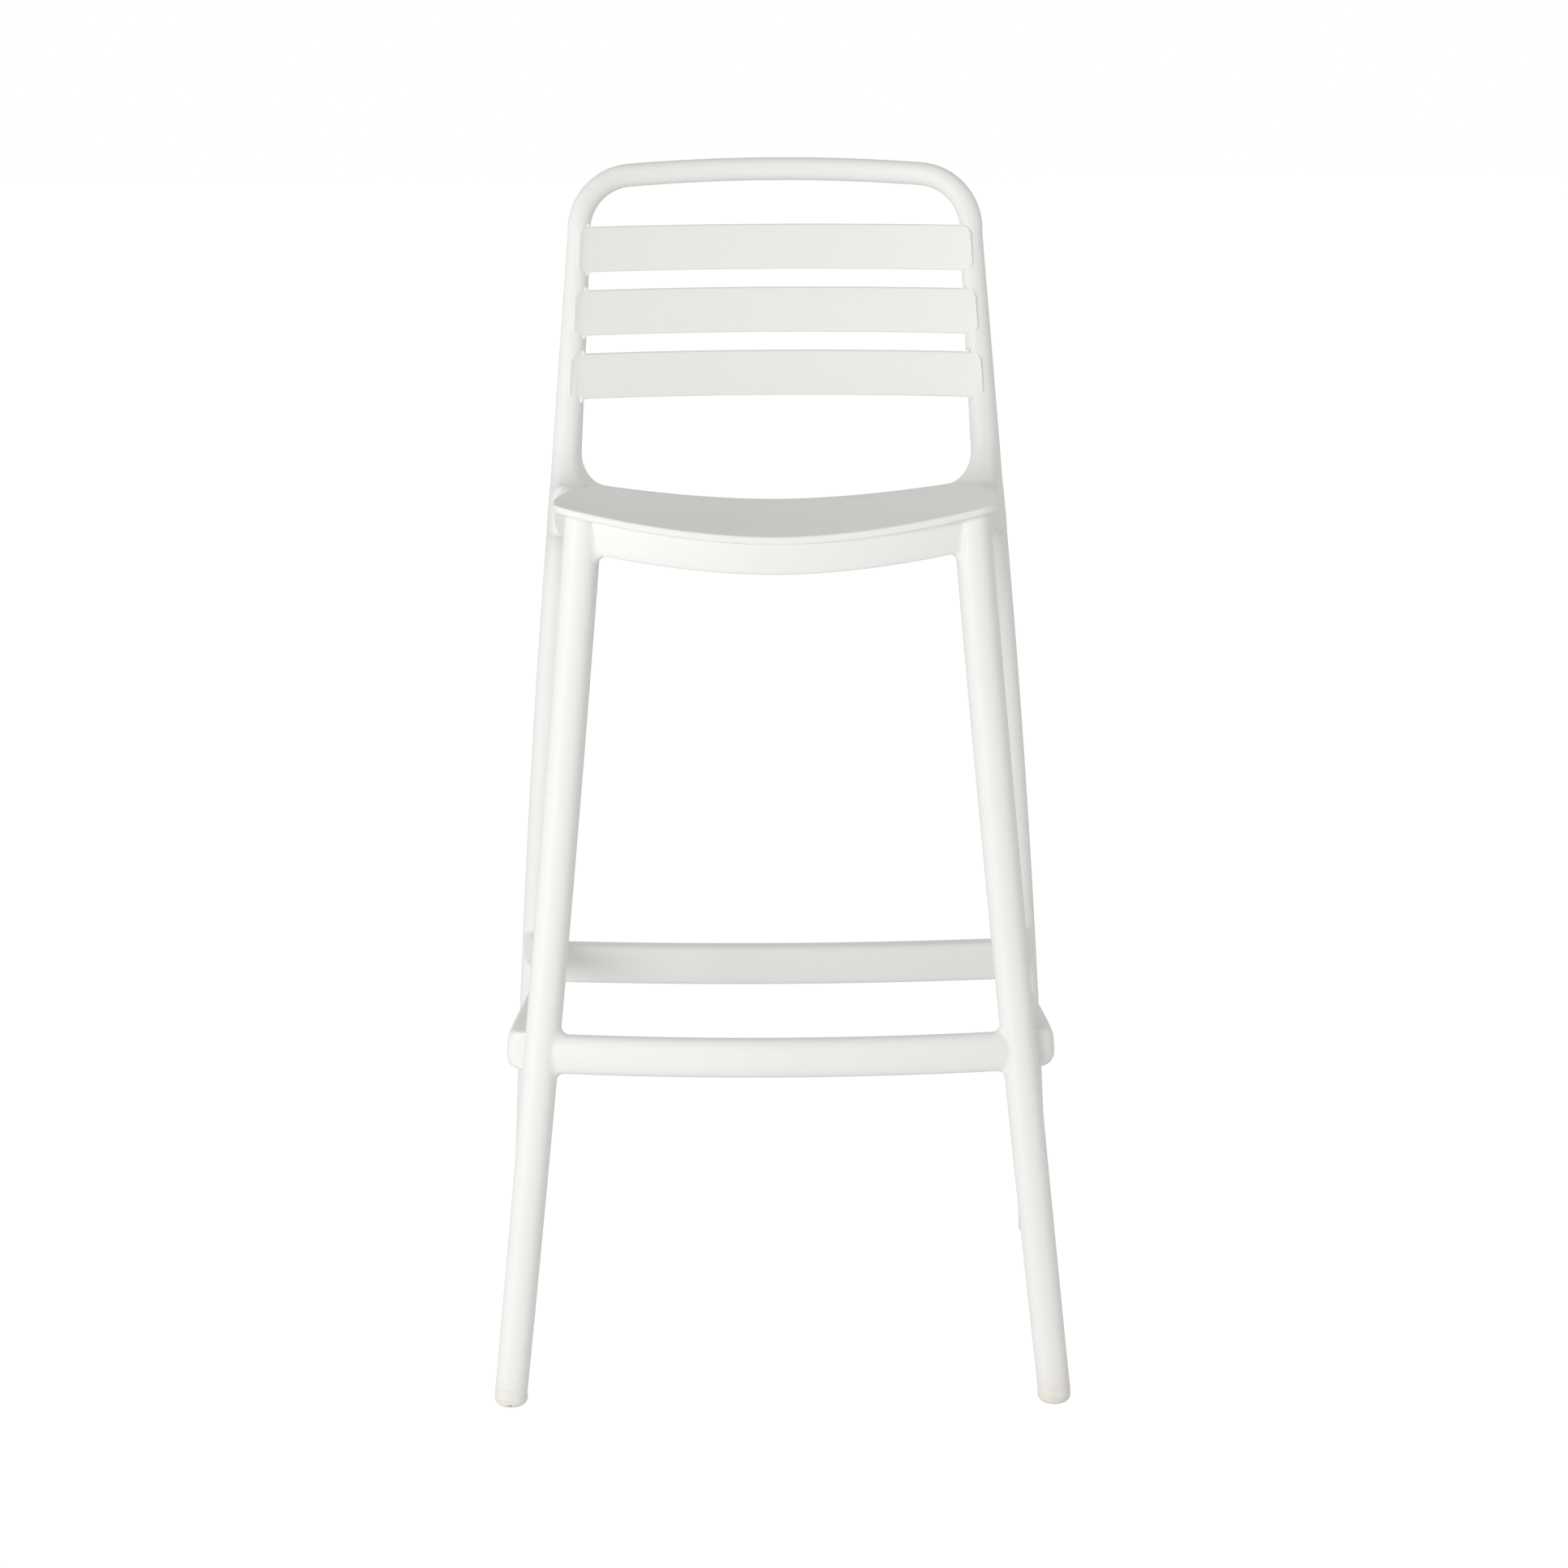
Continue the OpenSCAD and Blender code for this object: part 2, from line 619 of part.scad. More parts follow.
// A side bearer carries the seat's side from the front leg to the rear leg. Its top stays under
// the seat's edge at the front and comes out beside it further back.
module bearer_body() {
    low_z = seat_h - bearer_h / 2;
    a = front_leg_c(low_z);
    b = rear_leg_c(low_z);
    front_wall = a[1] + front_leg_d / 2;
    rear_wall = b[1] - rear_leg_d / 2;
    ys = [
        a[1],
        for (k = [0, 0.05, 0.2, 0.5, 1]) front_wall + k * bearer_fillet,
        for (i = [1 : 6]) lerp(front_wall + bearer_fillet, rear_wall, i / 6),
        b[1]
    ];
    skin([
        for (y = ys)
            let (
                t = (y - a[1]) / (b[1] - a[1]),
                x = bowed(a[0], b[0] - 1, -bearer_bend, t),
                edge_z = seat_top(min(x, seat_front_x), y) - seat_t / 2,
                high = edge_z - 1 + (bearer_crest + 1) * t * t,
                low = edge_z - seat_t / 2 - bearer_h - fillet(y - front_wall, bearer_fillet),
                spread = bearer_spread / 2 * t * t,
                half = bearer_w / 2 + 2 * t * t * t + spread
            )
                placed(oval(half, (high - low) / 2, 2.6, 3.2, rail_sides),
                    [x - spread, y, (high + low) / 2], [-1, 0, 0], [0, 0, 1])
    ]);
}

module bearer(s) {
    side(s) difference() {
        bearer_body();
        seat_panel();
        front_leg_body();
        rear_leg_body();
        rear_bearer_body();
    }
}

// Stiffening ribs under the seat panel, between the apron and the bearers
module seat_ribs() {
    low = apron_low_z(rib_x) + rib_clear;
    tall = seat_h + seat_front_rise - low;
    front = apron_face_y(rib_x) + apron_t / 2;
    rear = seat_rear_y - rear_bearer_t / 4;
    difference() {
        union() {
            for (s = [-1, 1])
                translate([s * rib_x - rib_t / 2, front, low]) cube([rib_t, rear - front, tall]);
            for (i = [-1 : 1])
                let (
                    y = i * rib_pitch - past,
                    t = (y + front_top_y) / (rear_seat_y + front_top_y),
                    x = lerp(front_top_x, rear_seat_x, t)
                )
                    translate([-x, y - rib_t / 2, low]) cube([2 * x, rib_t, tall]);
        }
        above_seat();
        front_apron_body();
        rear_bearer_body();
        for (s = [-1, 1]) side(s) bearer_body();
    }
}

// A footrest between two legs: a rounded bar bowed in plan, with a fillet at each end
module rest_bar(c, wall, lean, half_t, half_h, bow, upper, lower) {
    r = rest_fillet;
    reach = [-wall, 0, 0.08 * r, 0.25 * r, 0.55 * r, r];
    wall_x = c[0] - wall;
    steps = 12;
    xs = [
        for (d = reach) d - wall_x,
        for (i = [1 : steps - 1]) lerp(r - wall_x, wall_x - r, i / steps),
        for (i = [len(reach) - 1 : -1 : 0]) wall_x - reach[i]
    ];
    skin([
        for (x = xs)
            let (f = fillet(wall_x - abs(x), r), slim = 1 - 0.35 * f / r)
                placed(oval(half_t, half_h + f, upper * slim, lower * slim, rail_sides),
                    [x, c[1] - bow * (1 - pow(x / c[0], 2)), c[2]], [0, 1, 0],
                    [lean * x / wall_x, 0, 1])
    ]);
}

module front_footrest() {
    difference() {
        rest_bar(front_leg_c(front_rest_z), front_leg_half(front_rest_z)[0],
            front_leg_c(front_rest_z + 1)[0] - front_leg_c(front_rest_z)[0], front_rest_t / 2,
            front_rest_h / 2, front_rest_bow, 2.6, 2.6);
        for (s = [-1, 1]) side(s) front_leg_body();
    }
}

module rear_rail() {
    difference() {
        rest_bar(rear_leg_c(rear_rest_z), rear_leg_half(rear_rest_z)[0],
            rear_leg_c(rear_rest_z + 1)[0] - rear_leg_c(rear_rest_z)[0], rear_rest_t / 2,
            rear_rest_h / 2, rear_rest_bow, 5, 4);
        for (s = [-1, 1]) side(s) rear_leg_body();
    }
}

// A side footrest clasps the outer rear of the front leg with a blunt rounded end, pulls in
// towards the stool's middle, and ends on the front of the rear leg
module side_footrest(s) {
    a = front_leg_c(side_rest_front_z);
    b = rear_leg_c(side_rest_rear_z);
    start_y = a[1] + side_rest_start;
    end_y = b[1] - rear_leg_half(side_rest_rear_z)[1] / 3;
    run = end_y - start_y;
    nose = side_rest_nose;
    places = concat(
        [for (k = [0, 0.08, 0.25, 0.55, 1]) k * nose],
        [for (i = [1 : 14]) lerp(nose, run, i / 14)]
    );
    side(s) difference() {
        skin([
            for (d = places)
                let (
                    t = d / run,
                    trim = fillet(d, nose),
                    clasp = side_rest_clasp * pow(max(0, 1 - t / 0.5), 2),
                    grip = side_rest_grip * pow(max(0, (t - 0.65) / 0.35), 2),
                    half = (side_rest_t + clasp + grip - trim) / 2,
                    off = handles(side_rest_out, 0.7 * side_rest_out, -side_rest_in, side_rest_flare, t) - trim / 2
                )
                    placed(oval(half, side_rest_h / 2 - trim / 6, 5, 3, rail_sides),
                        [lerp(a[0], b[0], t) + off, start_y + d,
                            lerp(side_rest_front_z, side_rest_rear_z, t)],
                        [-1, 0, 0], [0, 0, 1])
        ]);
        front_leg_body();
        rear_leg_body();
    }
}

color("whitesmoke") front_leg(-1);  // front_left_leg
color("whitesmoke") front_leg(1);  // front_right_leg
color("whitesmoke") rear_leg(-1);  // rear_left_leg
color("whitesmoke") rear_leg(1);  // rear_right_leg
color("whitesmoke") top_rail();
color("whitesmoke") slat(0);  // upper_slat
color("whitesmoke") slat(1);  // middle_slat
color("whitesmoke") slat(2);  // lower_slat
color("whitesmoke") seat_panel();
color("whitesmoke") seat_ribs();
color("whitesmoke") front_apron();
color("whitesmoke") bearer(-1);  // left_bearer
color("whitesmoke") bearer(1);  // right_bearer
color("whitesmoke") rear_bearer();
color("whitesmoke") front_footrest();
color("whitesmoke") side_footrest(-1);  // left_footrest
color("whitesmoke") side_footrest(1);  // right_footrest
color("whitesmoke") rear_rail();
color("gainsboro") front_foot(-1);  // front_left_foot
color("gainsboro") front_foot(1);  // front_right_foot
color("gainsboro") rear_foot(-1);  // rear_left_foot
color("gainsboro") rear_foot(1);  // rear_right_foot
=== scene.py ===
"""Bar stool of white moulded plastic.

Every member of the stool is a surface of two parameters: t goes once round its section and s runs
along it. Where a member meets a leg, a ball is rolled round the corner between them, and the
member's skin follows the ball out on to the leg, as on a real moulding. Sizes are in millimetres
in the stool's own frame, +Z up and the sitter facing -Y, and become metres when a mesh is made.
"""
import math

import bpy
import numpy as np
from mathutils import Matrix


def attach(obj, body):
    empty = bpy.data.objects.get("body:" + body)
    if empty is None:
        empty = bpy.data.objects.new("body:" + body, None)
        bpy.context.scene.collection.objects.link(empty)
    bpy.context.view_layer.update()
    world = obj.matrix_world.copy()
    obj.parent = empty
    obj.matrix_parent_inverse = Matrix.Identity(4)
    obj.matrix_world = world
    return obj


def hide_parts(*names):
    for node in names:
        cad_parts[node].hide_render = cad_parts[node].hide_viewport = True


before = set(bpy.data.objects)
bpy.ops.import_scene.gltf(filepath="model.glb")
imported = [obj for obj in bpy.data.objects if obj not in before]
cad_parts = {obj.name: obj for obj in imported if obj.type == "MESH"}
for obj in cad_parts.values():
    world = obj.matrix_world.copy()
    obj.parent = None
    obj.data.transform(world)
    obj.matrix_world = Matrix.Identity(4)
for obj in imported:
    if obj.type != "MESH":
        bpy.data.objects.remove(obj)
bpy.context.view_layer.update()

MM = 0.001
TURN = 2 * math.pi

# Small steps for slopes, in millimetres and in radians, and how often an interval is halved
STEP = 0.01
STEP_T = 1e-4
HALVINGS = 36

# Whole stool
TOTAL_H = 1050
SEAT_H = 749.5

# Front legs, with the places of their centre line given as (sideways, forwards)
FRONT_FOOT = (236, 249)
FRONT_TOP = (165.5, 171)
FRONT_LEG_BOW = 2
FRONT_LEG_W = 32
FRONT_LEG_D = 34
ANKLE_D = 28
FRONT_LEG_TAPER = 1.7

# Rear legs and back posts, with their places given as (sideways, backwards)
REAR_FOOT = (249.5, 231)
REAR_SEAT = (198, 175.5)
POST_TOP_X = 183.2
BACK_TOP_Y = 224
REAR_LEG_BOW = 5.6
KNEE_REACH = 60
REAR_LEG_W = 28.3
REAR_LEG_D = 31
POST_TOP_D = 22
LEG_SQUARE = 2.3
TILT_FROM = 860

# Top rail
RAIL_T = 21.3
RAIL_D = 21
CORNER_R = 50
RAIL_CROWN = 4.8
BACK_BOW = 28

# Back slats
SLAT_H = 41.4
SLAT_T = 8
SLAT_ARCH = 1
SLAT_GAP = 16.8
GRIP_H = 41.1
SLAT_INSET = 11.7
SLAT_PROUD = 2.6
SLAT_CORNER_R = 5
SLAT_EDGE_R = 1.6
SLAT_END_R = 1.6
SLAT_CURL = 2.4
SLAT_CURL_RUN = 8
SLAT_CORNER_FALL = 0.9
SLAT_END_FLAT = 0.05
SLAT_FILLET = 3.6
SLAT_FILLET_SUNK = 0.2

# Where the slat's fillet has its middle, and its half length, as shares of the slat's thickness
SLAT_FILLET_AT = 0.83
SLAT_FILLET_HALF = 0.13

# Seat
SEAT_FRONT_X = 190.5
SEAT_REAR_X = 173
SEAT_FRONT_Y = 213
SEAT_REAR_Y = 172
SEAT_FRONT_BOW = 27
SEAT_REAR_BOW = 12
SEAT_SIDE_BOW = 10
SEAT_FRONT_R = 30
SEAT_REAR_R = 16
SEAT_T = 7
SEAT_FALL = 13
SEAT_DIP = 2.5
SEAT_FRONT_RISE = 27
SEAT_REAR_RISE = 16.5
SADDLE_POWER = 1.8
NOSE_SQUARE = 3.6

# Seat frame
APRON_H = 26
APRON_RISE = 17
APRON_T = 11
APRON_SETBACK = 3.5
APRON_BOW = 27
APRON_FILLET = 8
APRON_SQUARE = (7, 6)
UNDER_SEAT_R = 2.0
BEARER_H = 42
BEARER_W = 20
BEARER_FILLET = 22
BEARER_CREST = 2
BEARER_BEND = 4
BEARER_SPREAD = 14
BEARER_SQUARE = 2.6
BEARER_INSIDE = 0.15
BEARER_SHORT = 2
TOE_REACH = 14
TOE_RUN = 38
TOE_FADE = 70
TOE_H = 45
TOE_FROM = 0.6
REAR_BEARER_H = 30
REAR_BEARER_T = 22
REAR_BEARER_SETBACK = 1.5
REAR_BEARER_SQUARE = 3
BACK_CORNER_H = 31
KNUCKLE_W = 28
KNUCKLE_R = 20
KNUCKLE_LIFT = 5
KNUCKLE_OVERLAP = 1.5
RIB_T = 3
RIB_CLEAR = 2
RIB_X = 62
RIB_PITCH = 100
RIB_SHIFT = 20
RIB_EDGE_R = 1.3

# How far the bearers' tops lie under the middle of the seat's edge
TUCK = 1

# The flare at the post's foot. It goes over from the rear bearer to the seat a little ahead of the
# leg's middle, starts sunk under either, and follows the seat's top as far out as its edge.
ON_SEAT_FROM = 6
ON_SEAT_RUN = 8
FLARE_SUNK = 0.6
SEAT_SIDE_X = 176

# Footrests
FRONT_REST = dict(z=305, h=34, t=22, bow=20, upper=2.6, lower=2.6)
REAR_REST = dict(z=283.5, h=38, t=25, bow=17, upper=5, lower=4)
REST_FILLET = 7
SIDE_Z = (303, 299)
SIDE_H = 34
SIDE_T = 16.4
SIDE_CLASP = 10.6
SIDE_GRIP = 7.6
SIDE_START = 7.5
SIDE_NOSE = 11
SIDE_OUT = 16.5
SIDE_IN = 22
SIDE_FLARE = 1
SIDE_FILLET = 5
SIDE_PULL = 0.7
SIDE_SQUARE = (5, 3)
SIDE_SWELL = 1.2
SIDE_LIFT = 2.4
SIDE_DROP = 1.2
SIDE_LEAN = 1.4
SIDE_SOFTER = 0.7

# Up to and from which share of a side footrest's length its ends differ from its middle
SIDE_CLASP_RUN = 0.5
SIDE_NEAR_RUN = 0.4
SIDE_GRIP_FROM = 0.65

# Feet
FOOT_D = 28.8
FOOT_H = 12
FOOT_EDGE_R = 7
SOLE_INSETS = (6.0, 1.5)

RAIL_Z = TOTAL_H - RAIL_T / 2 - RAIL_CROWN
CORNER_Z = RAIL_Z - CORNER_R
CORNER_X = POST_TOP_X - CORNER_R
POST_SLOPE_Y = (BACK_TOP_Y - REAR_SEAT[1]) / (RAIL_Z - SEAT_H)
POST_LEAN = (REAR_SEAT[0] - POST_TOP_X) / (CORNER_Z - SEAT_H)
KNUCKLE_HIGH = SEAT_H - SEAT_FALL + SEAT_REAR_RISE - SEAT_T / 2 - TUCK
KNUCKLE_LOW = KNUCKLE_HIGH - SEAT_T - REAR_BEARER_H + KNUCKLE_LIFT
UPPER_SLAT_Z = TOTAL_H - RAIL_T - GRIP_H - SLAT_H / 2
SEAT_MID_Y = (SEAT_REAR_Y - SEAT_FRONT_Y) / 2
LEAN_ANGLE = math.atan(POST_LEAN)
CROWN_ANGLE = math.atan(2 * RAIL_CROWN / CORNER_X)
POST_END_Z = CORNER_Z - CORNER_R * math.sin(LEAN_ANGLE)
REAR_CORNER_Z = SEAT_H - SEAT_FALL + SEAT_REAR_RISE * (SEAT_FRONT_X / SEAT_REAR_X) ** SADDLE_POWER
CREST = REAR_CORNER_Z - SEAT_T / 2 - TUCK + BEARER_CREST
BELLY = REAR_CORNER_Z - SEAT_T - BEARER_H


# Curves and sections

def lerp(a, b, t):
    """Straight blend from a to b."""
    return a + (b - a) * t


def bowed(a, b, bow, t):
    """Straight blend with a parabola added that is bow high at the middle."""
    return lerp(a, b, t) + 4 * bow * t * (1 - t)


def knee(u, before, after, reach):
    """Two slopes that a parabola joins over reach to each side of u = 0."""
    curve = (before + after) / 2 * u + (after - before) / (4 * reach) * (u * u + reach * reach)
    return np.where(u < -reach, before * u, np.where(u > reach, after * u, curve))


def fillet(d, r):
    """What a quarter circle of radius r adds at a distance d from the wall it runs into."""
    d = np.clip(d, 0, r)
    return r - np.sqrt(r * r - (r - d) ** 2)


def handles(a, b, c, d, t):
    """Cubic curve from a to d, drawn towards b and c."""
    return a * (1 - t) ** 3 + 3 * b * t * (1 - t) ** 2 + 3 * c * t * t * (1 - t) + d * t**3


def smooth(t):
    """Goes from 0 to 1 with level ends: 3t^2 - 2t^3."""
    t = np.clip(t, 0, 1)
    return t * t * (3 - 2 * t)


def angles(n):
    """n angles once round, from the section's +u side."""
    return np.arange(n) * TURN / n


def oval(t, right, left, upper, lower, high=LEG_SQUARE, low=None):
    """An ellipse pushed outwards to a squarer oval. The reach may differ on each side, and the
    squareness n above and below: the point (a cos t, b sin t) times (|cos t|^n + |sin t|^n)^(-1/n)."""
    c, s = np.cos(t), np.sin(t)
    n = np.where(s >= 0, high, high if low is None else low)
    push = (np.abs(c) ** n + np.abs(s) ** n) ** (-1 / n)
    return np.where(c >= 0, right, left) * push * c, np.where(s >= 0, upper, lower) * push * s


def off_oval(u, v, a, b, n):
    """How far a point lies outside an oval: its distance from the middle less that of the oval's
    edge in the same direction."""
    share = np.maximum((np.abs(u / a) ** n + np.abs(v / b) ** n) ** (1 / n), 1e-6)
    return (1 - 1 / share) * np.hypot(u, v)


def rounded(a, b, r, per_corner):
    """Rectangle ring with quarter circles of radius r at its corners, counted from +u."""
    quarter = np.repeat(np.arange(4), per_corner)
    t = np.tile(np.linspace(0, math.pi / 2, per_corner), 4) + quarter * math.pi / 2
    sx = np.where((quarter == 0) | (quarter == 3), 1, -1)
    sy = np.where(quarter < 2, 1, -1)
    return sx * (a - r) + r * np.cos(t), sy * (b - r) + r * np.sin(t)


def points(x, y, z):
    """Points from three arrays that broadcast together."""
    return np.stack(np.broadcast_arrays(x, y, z), axis=-1).astype(float)


def mirrored(rings):
    """The same rings on the stool's left side."""
    return rings * np.array([-1.0, 1.0, 1.0])


# Meshes

def shell(rings):
    """Closed skin over rings of points, m rings of n: quads between the rings and a fan of
    triangles to a pole at each end, turned so that the faces point outwards."""
    rings = np.asarray(rings, float)
    m, n = rings.shape[:2]
    verts = np.concatenate([rings.reshape(-1, 3), rings[:1].mean(1), rings[-1:].mean(1)])
    i = np.arange(m - 1)[:, None] * n
    j = np.arange(n)[None, :]
    k = (j + 1) % n
    quads = np.stack([i + j, i + k, i + n + k, i + n + j], axis=-1).reshape(-1, 4)
    low = np.stack([k[0], j[0], np.full(n, m * n)], axis=-1)
    high = np.stack([(m - 1) * n + j[0], (m - 1) * n + k[0], np.full(n, m * n + 1)], axis=-1)
    tris = np.concatenate([low, high])
    halves = np.concatenate([quads[:, [0, 1, 2]], quads[:, [0, 2, 3]], tris])
    a, b, c = (verts[halves[:, q]] for q in range(3))
    if np.einsum("ij,ij->i", a, np.cross(b, c)).sum() < 0:
        quads, tris = quads[:, ::-1], tris[:, ::-1]
    return verts, quads, tris


def piece(name, node, shells, material):
    """One object made of closed skins, which stands for a CAD node and rides on the one body."""
    verts, loops, sizes = [], [], []
    offset = 0
    for part, quads, tris in shells:
        verts.append(part)
        loops += [(quads + offset).ravel(), (tris + offset).ravel()]
        sizes += [np.full(len(quads), 4), np.full(len(tris), 3)]
        offset += len(part)
    verts = np.concatenate(verts) * MM
    loops, sizes = np.concatenate(loops), np.concatenate(sizes)
    starts = np.concatenate([[0], np.cumsum(sizes)[:-1]])
    mesh = bpy.data.meshes.new(name)
    mesh.vertices.add(len(verts))
    mesh.vertices.foreach_set("co", verts.astype(np.float32).ravel())
    mesh.loops.add(len(loops))
    mesh.loops.foreach_set("vertex_index", loops.astype(np.int32))
    mesh.polygons.add(len(sizes))
    mesh.polygons.foreach_set("loop_start", starts.astype(np.int32))
    mesh.polygons.foreach_set("use_smooth", np.ones(len(sizes), bool))
    mesh.update(calc_edges=True)
    mesh.validate()
    mesh.materials.append(material)
    obj = bpy.data.objects.new(name, mesh)
    bpy.context.scene.collection.objects.link(obj)
    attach(obj, "root")
    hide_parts(node)


def tail(last, before, reach, drawn=0.03, steps=5):
    """Rings that carry a tube on past its end, straight ahead and drawn in with the square of the
    distance, so that it slips under the piece it meets without a step or a crease."""
    middle = last.mean(0)
    ahead = middle - before.mean(0)
    ahead = ahead / np.linalg.norm(ahead)
    k = (np.arange(1, steps + 1) / steps)[:, None, None]
    return middle + (last - middle) * (1 - drawn * k * k) + ahead * reach * k


def with_tails(rings, start=0, finish=0):
    """The rings with a tail at either end."""
    parts = [rings]
    if start:
        parts.insert(0, tail(rings[0], rings[1], start)[::-1])
    if finish:
        parts.append(tail(rings[-1], rings[-2], finish))
    return np.concatenate(parts)


# Fillets by a rolling ball

def slope(gap, p):
    """Direction in which a distance grows fastest, from small steps each way."""
    g = np.stack([gap(p + STEP * e) - gap(p - STEP * e) for e in np.eye(3)], axis=-1)
    return g / np.linalg.norm(g, axis=-1, keepdims=True)


def outward(shape, t, s):
    """Outward normal of a surface: its steps along t and along s, crossed, and turned round where
    it points at the middle of the points."""
    along = shape(t, s + STEP) - shape(t, s - STEP)
    around = shape(t + STEP_T, s) - shape(t - STEP_T, s)
    n = np.cross(around, along)
    n /= np.linalg.norm(n, axis=-1, keepdims=True)
    p = shape(t, s)
    side = np.einsum("ij,ij->", n, p - p.mean(0))
    return n if side > 0 else -n


def roll_in(shape, gap, radius, clear, inside, n, turns=10, sunk=1.5):
    """End of a member at a leg. For each t, the stretch of s between clear and inside is halved
    until a ball that touches the member also touches the leg. The skin then follows the ball from
    one touch to the other in as many rings as turns says, and ends sunk under the leg's skin."""
    t = angles(n)
    radius = np.broadcast_to(radius, (n,)).astype(float)
    far, near = np.full(n, float(clear)), np.full(n, float(inside))
    for _ in range(HALVINGS):
        s = (far + near) / 2
        free = gap(shape(t, s) + radius[:, None] * outward(shape, t, s)) > radius
        far, near = np.where(free, s, far), np.where(free, near, s)
    start = shape(t, s)
    ball = start + radius[:, None] * outward(shape, t, s)
    down = slope(gap, ball)
    end = ball - radius[:, None] * down
    end = end - gap(end)[:, None] * slope(gap, end)
    a, b = start - ball, end - ball
    cosine = np.einsum("ij,ij->i", a, b) / np.linalg.norm(a, axis=1) / np.linalg.norm(b, axis=1)
    arc = np.arccos(np.clip(cosine, -1, 1 - 1e-9))[:, None]
    shares = np.linspace(0, 1, turns + 1)[1:]
    rings = [ball + (np.sin((1 - k) * arc) * a + np.sin(k * arc) * b) / np.sin(arc) for k in shares]
    rings.append(end - sunk * slope(gap, end))
    return s, np.array(rings)


def bar(shape, gap, radius, clear, inside, n, steps):
    """A member that is the same on both sides and rolls into a leg at each end."""
    reach, end = roll_in(shape, gap, radius, clear, inside, n)
    shares = np.linspace(-1, 1, steps + 1)[:, None]
    body = shape(angles(n)[None, :], shares * reach[None, :])
    return np.concatenate([mirrored(end)[::-1], body, end])


# Legs and back

def front_leg_centre(z):
    """Centre line of a front leg: straight from foot to seat, less a slight inward bow."""
    t = 1 - z / SEAT_H
    x = bowed(FRONT_TOP[0], FRONT_FOOT[0], -FRONT_LEG_BOW, t)
    return x, -bowed(FRONT_TOP[1], FRONT_FOOT[1], -FRONT_LEG_BOW, t)


def front_leg_half(z):
    """Half width and half depth of a front leg: both fall towards the foot, the width by a power."""
    t = np.maximum(0, 1 - z / SEAT_H)
    return lerp(FRONT_LEG_W, ANKLE_D, t**FRONT_LEG_TAPER) / 2, lerp(FRONT_LEG_D, ANKLE_D, t) / 2


def front_leg_gap(p):
    """Distance of points from the front leg on their own side."""
    x, y = front_leg_centre(p[..., 2])
    a, b = front_leg_half(p[..., 2])
    return off_oval(np.abs(p[..., 0]) - x, p[..., 1] - y, a, b, LEG_SQUARE)


def rear_leg_centre(z):
    """Centre line of a rear leg, bowed outwards, and of the straight post above it. A parabola
    over the knee's reach bends the one back into the other at the seat."""
    u = z - SEAT_H
    leg = bowed(REAR_SEAT[0], REAR_FOOT[0], REAR_LEG_BOW, 1 - z / SEAT_H)
    x = np.where(u < 0, leg, REAR_SEAT[0] - POST_LEAN * u)
    y = REAR_SEAT[1] + knee(u, (REAR_SEAT[1] - REAR_FOOT[1]) / SEAT_H, POST_SLOPE_Y, KNEE_REACH)
    return x, y


def rear_leg_half(z):
    """Half width and half depth of a rear leg and its post: widest at the seat."""
    t, u = z / SEAT_H, (z - SEAT_H) / (CORNER_Z - SEAT_H)
    a = np.where(u < 0, lerp(ANKLE_D, REAR_LEG_W, t), lerp(REAR_LEG_W, RAIL_T, u)) / 2
    b = np.where(u < 0, lerp(ANKLE_D, REAR_LEG_D, t), lerp(REAR_LEG_D, POST_TOP_D, u)) / 2
    return a, b


def rear_leg_gap(p):
    """Distance of points from the rear leg on their own side."""
    x, y = rear_leg_centre(p[..., 2])
    a, b = rear_leg_half(p[..., 2])
    return off_oval(np.abs(p[..., 0]) - x, p[..., 1] - y, a, b, LEG_SQUARE)


def front_leg_rings(n=72, steps=90):
    """A front leg: an oval carried up the centre line. The last ring lies inside the seat, whose
    height at the ring's own place is found in three rounds."""
    t = angles(n)[None, :]
    s = np.linspace(0, 1, steps)[:, None]
    z = lerp(FOOT_H, SEAT_H, s) + 0 * t
    for _ in range(3):
        x, y = front_leg_centre(z)
        a, b = front_leg_half(z)
        u, v = oval(t, a, a, b, b)
        z = lerp(FOOT_H, seat_top(x + u, y + v) - SEAT_T / 2, s)
    return with_tails(points(x + u, y + v, z), start=5)


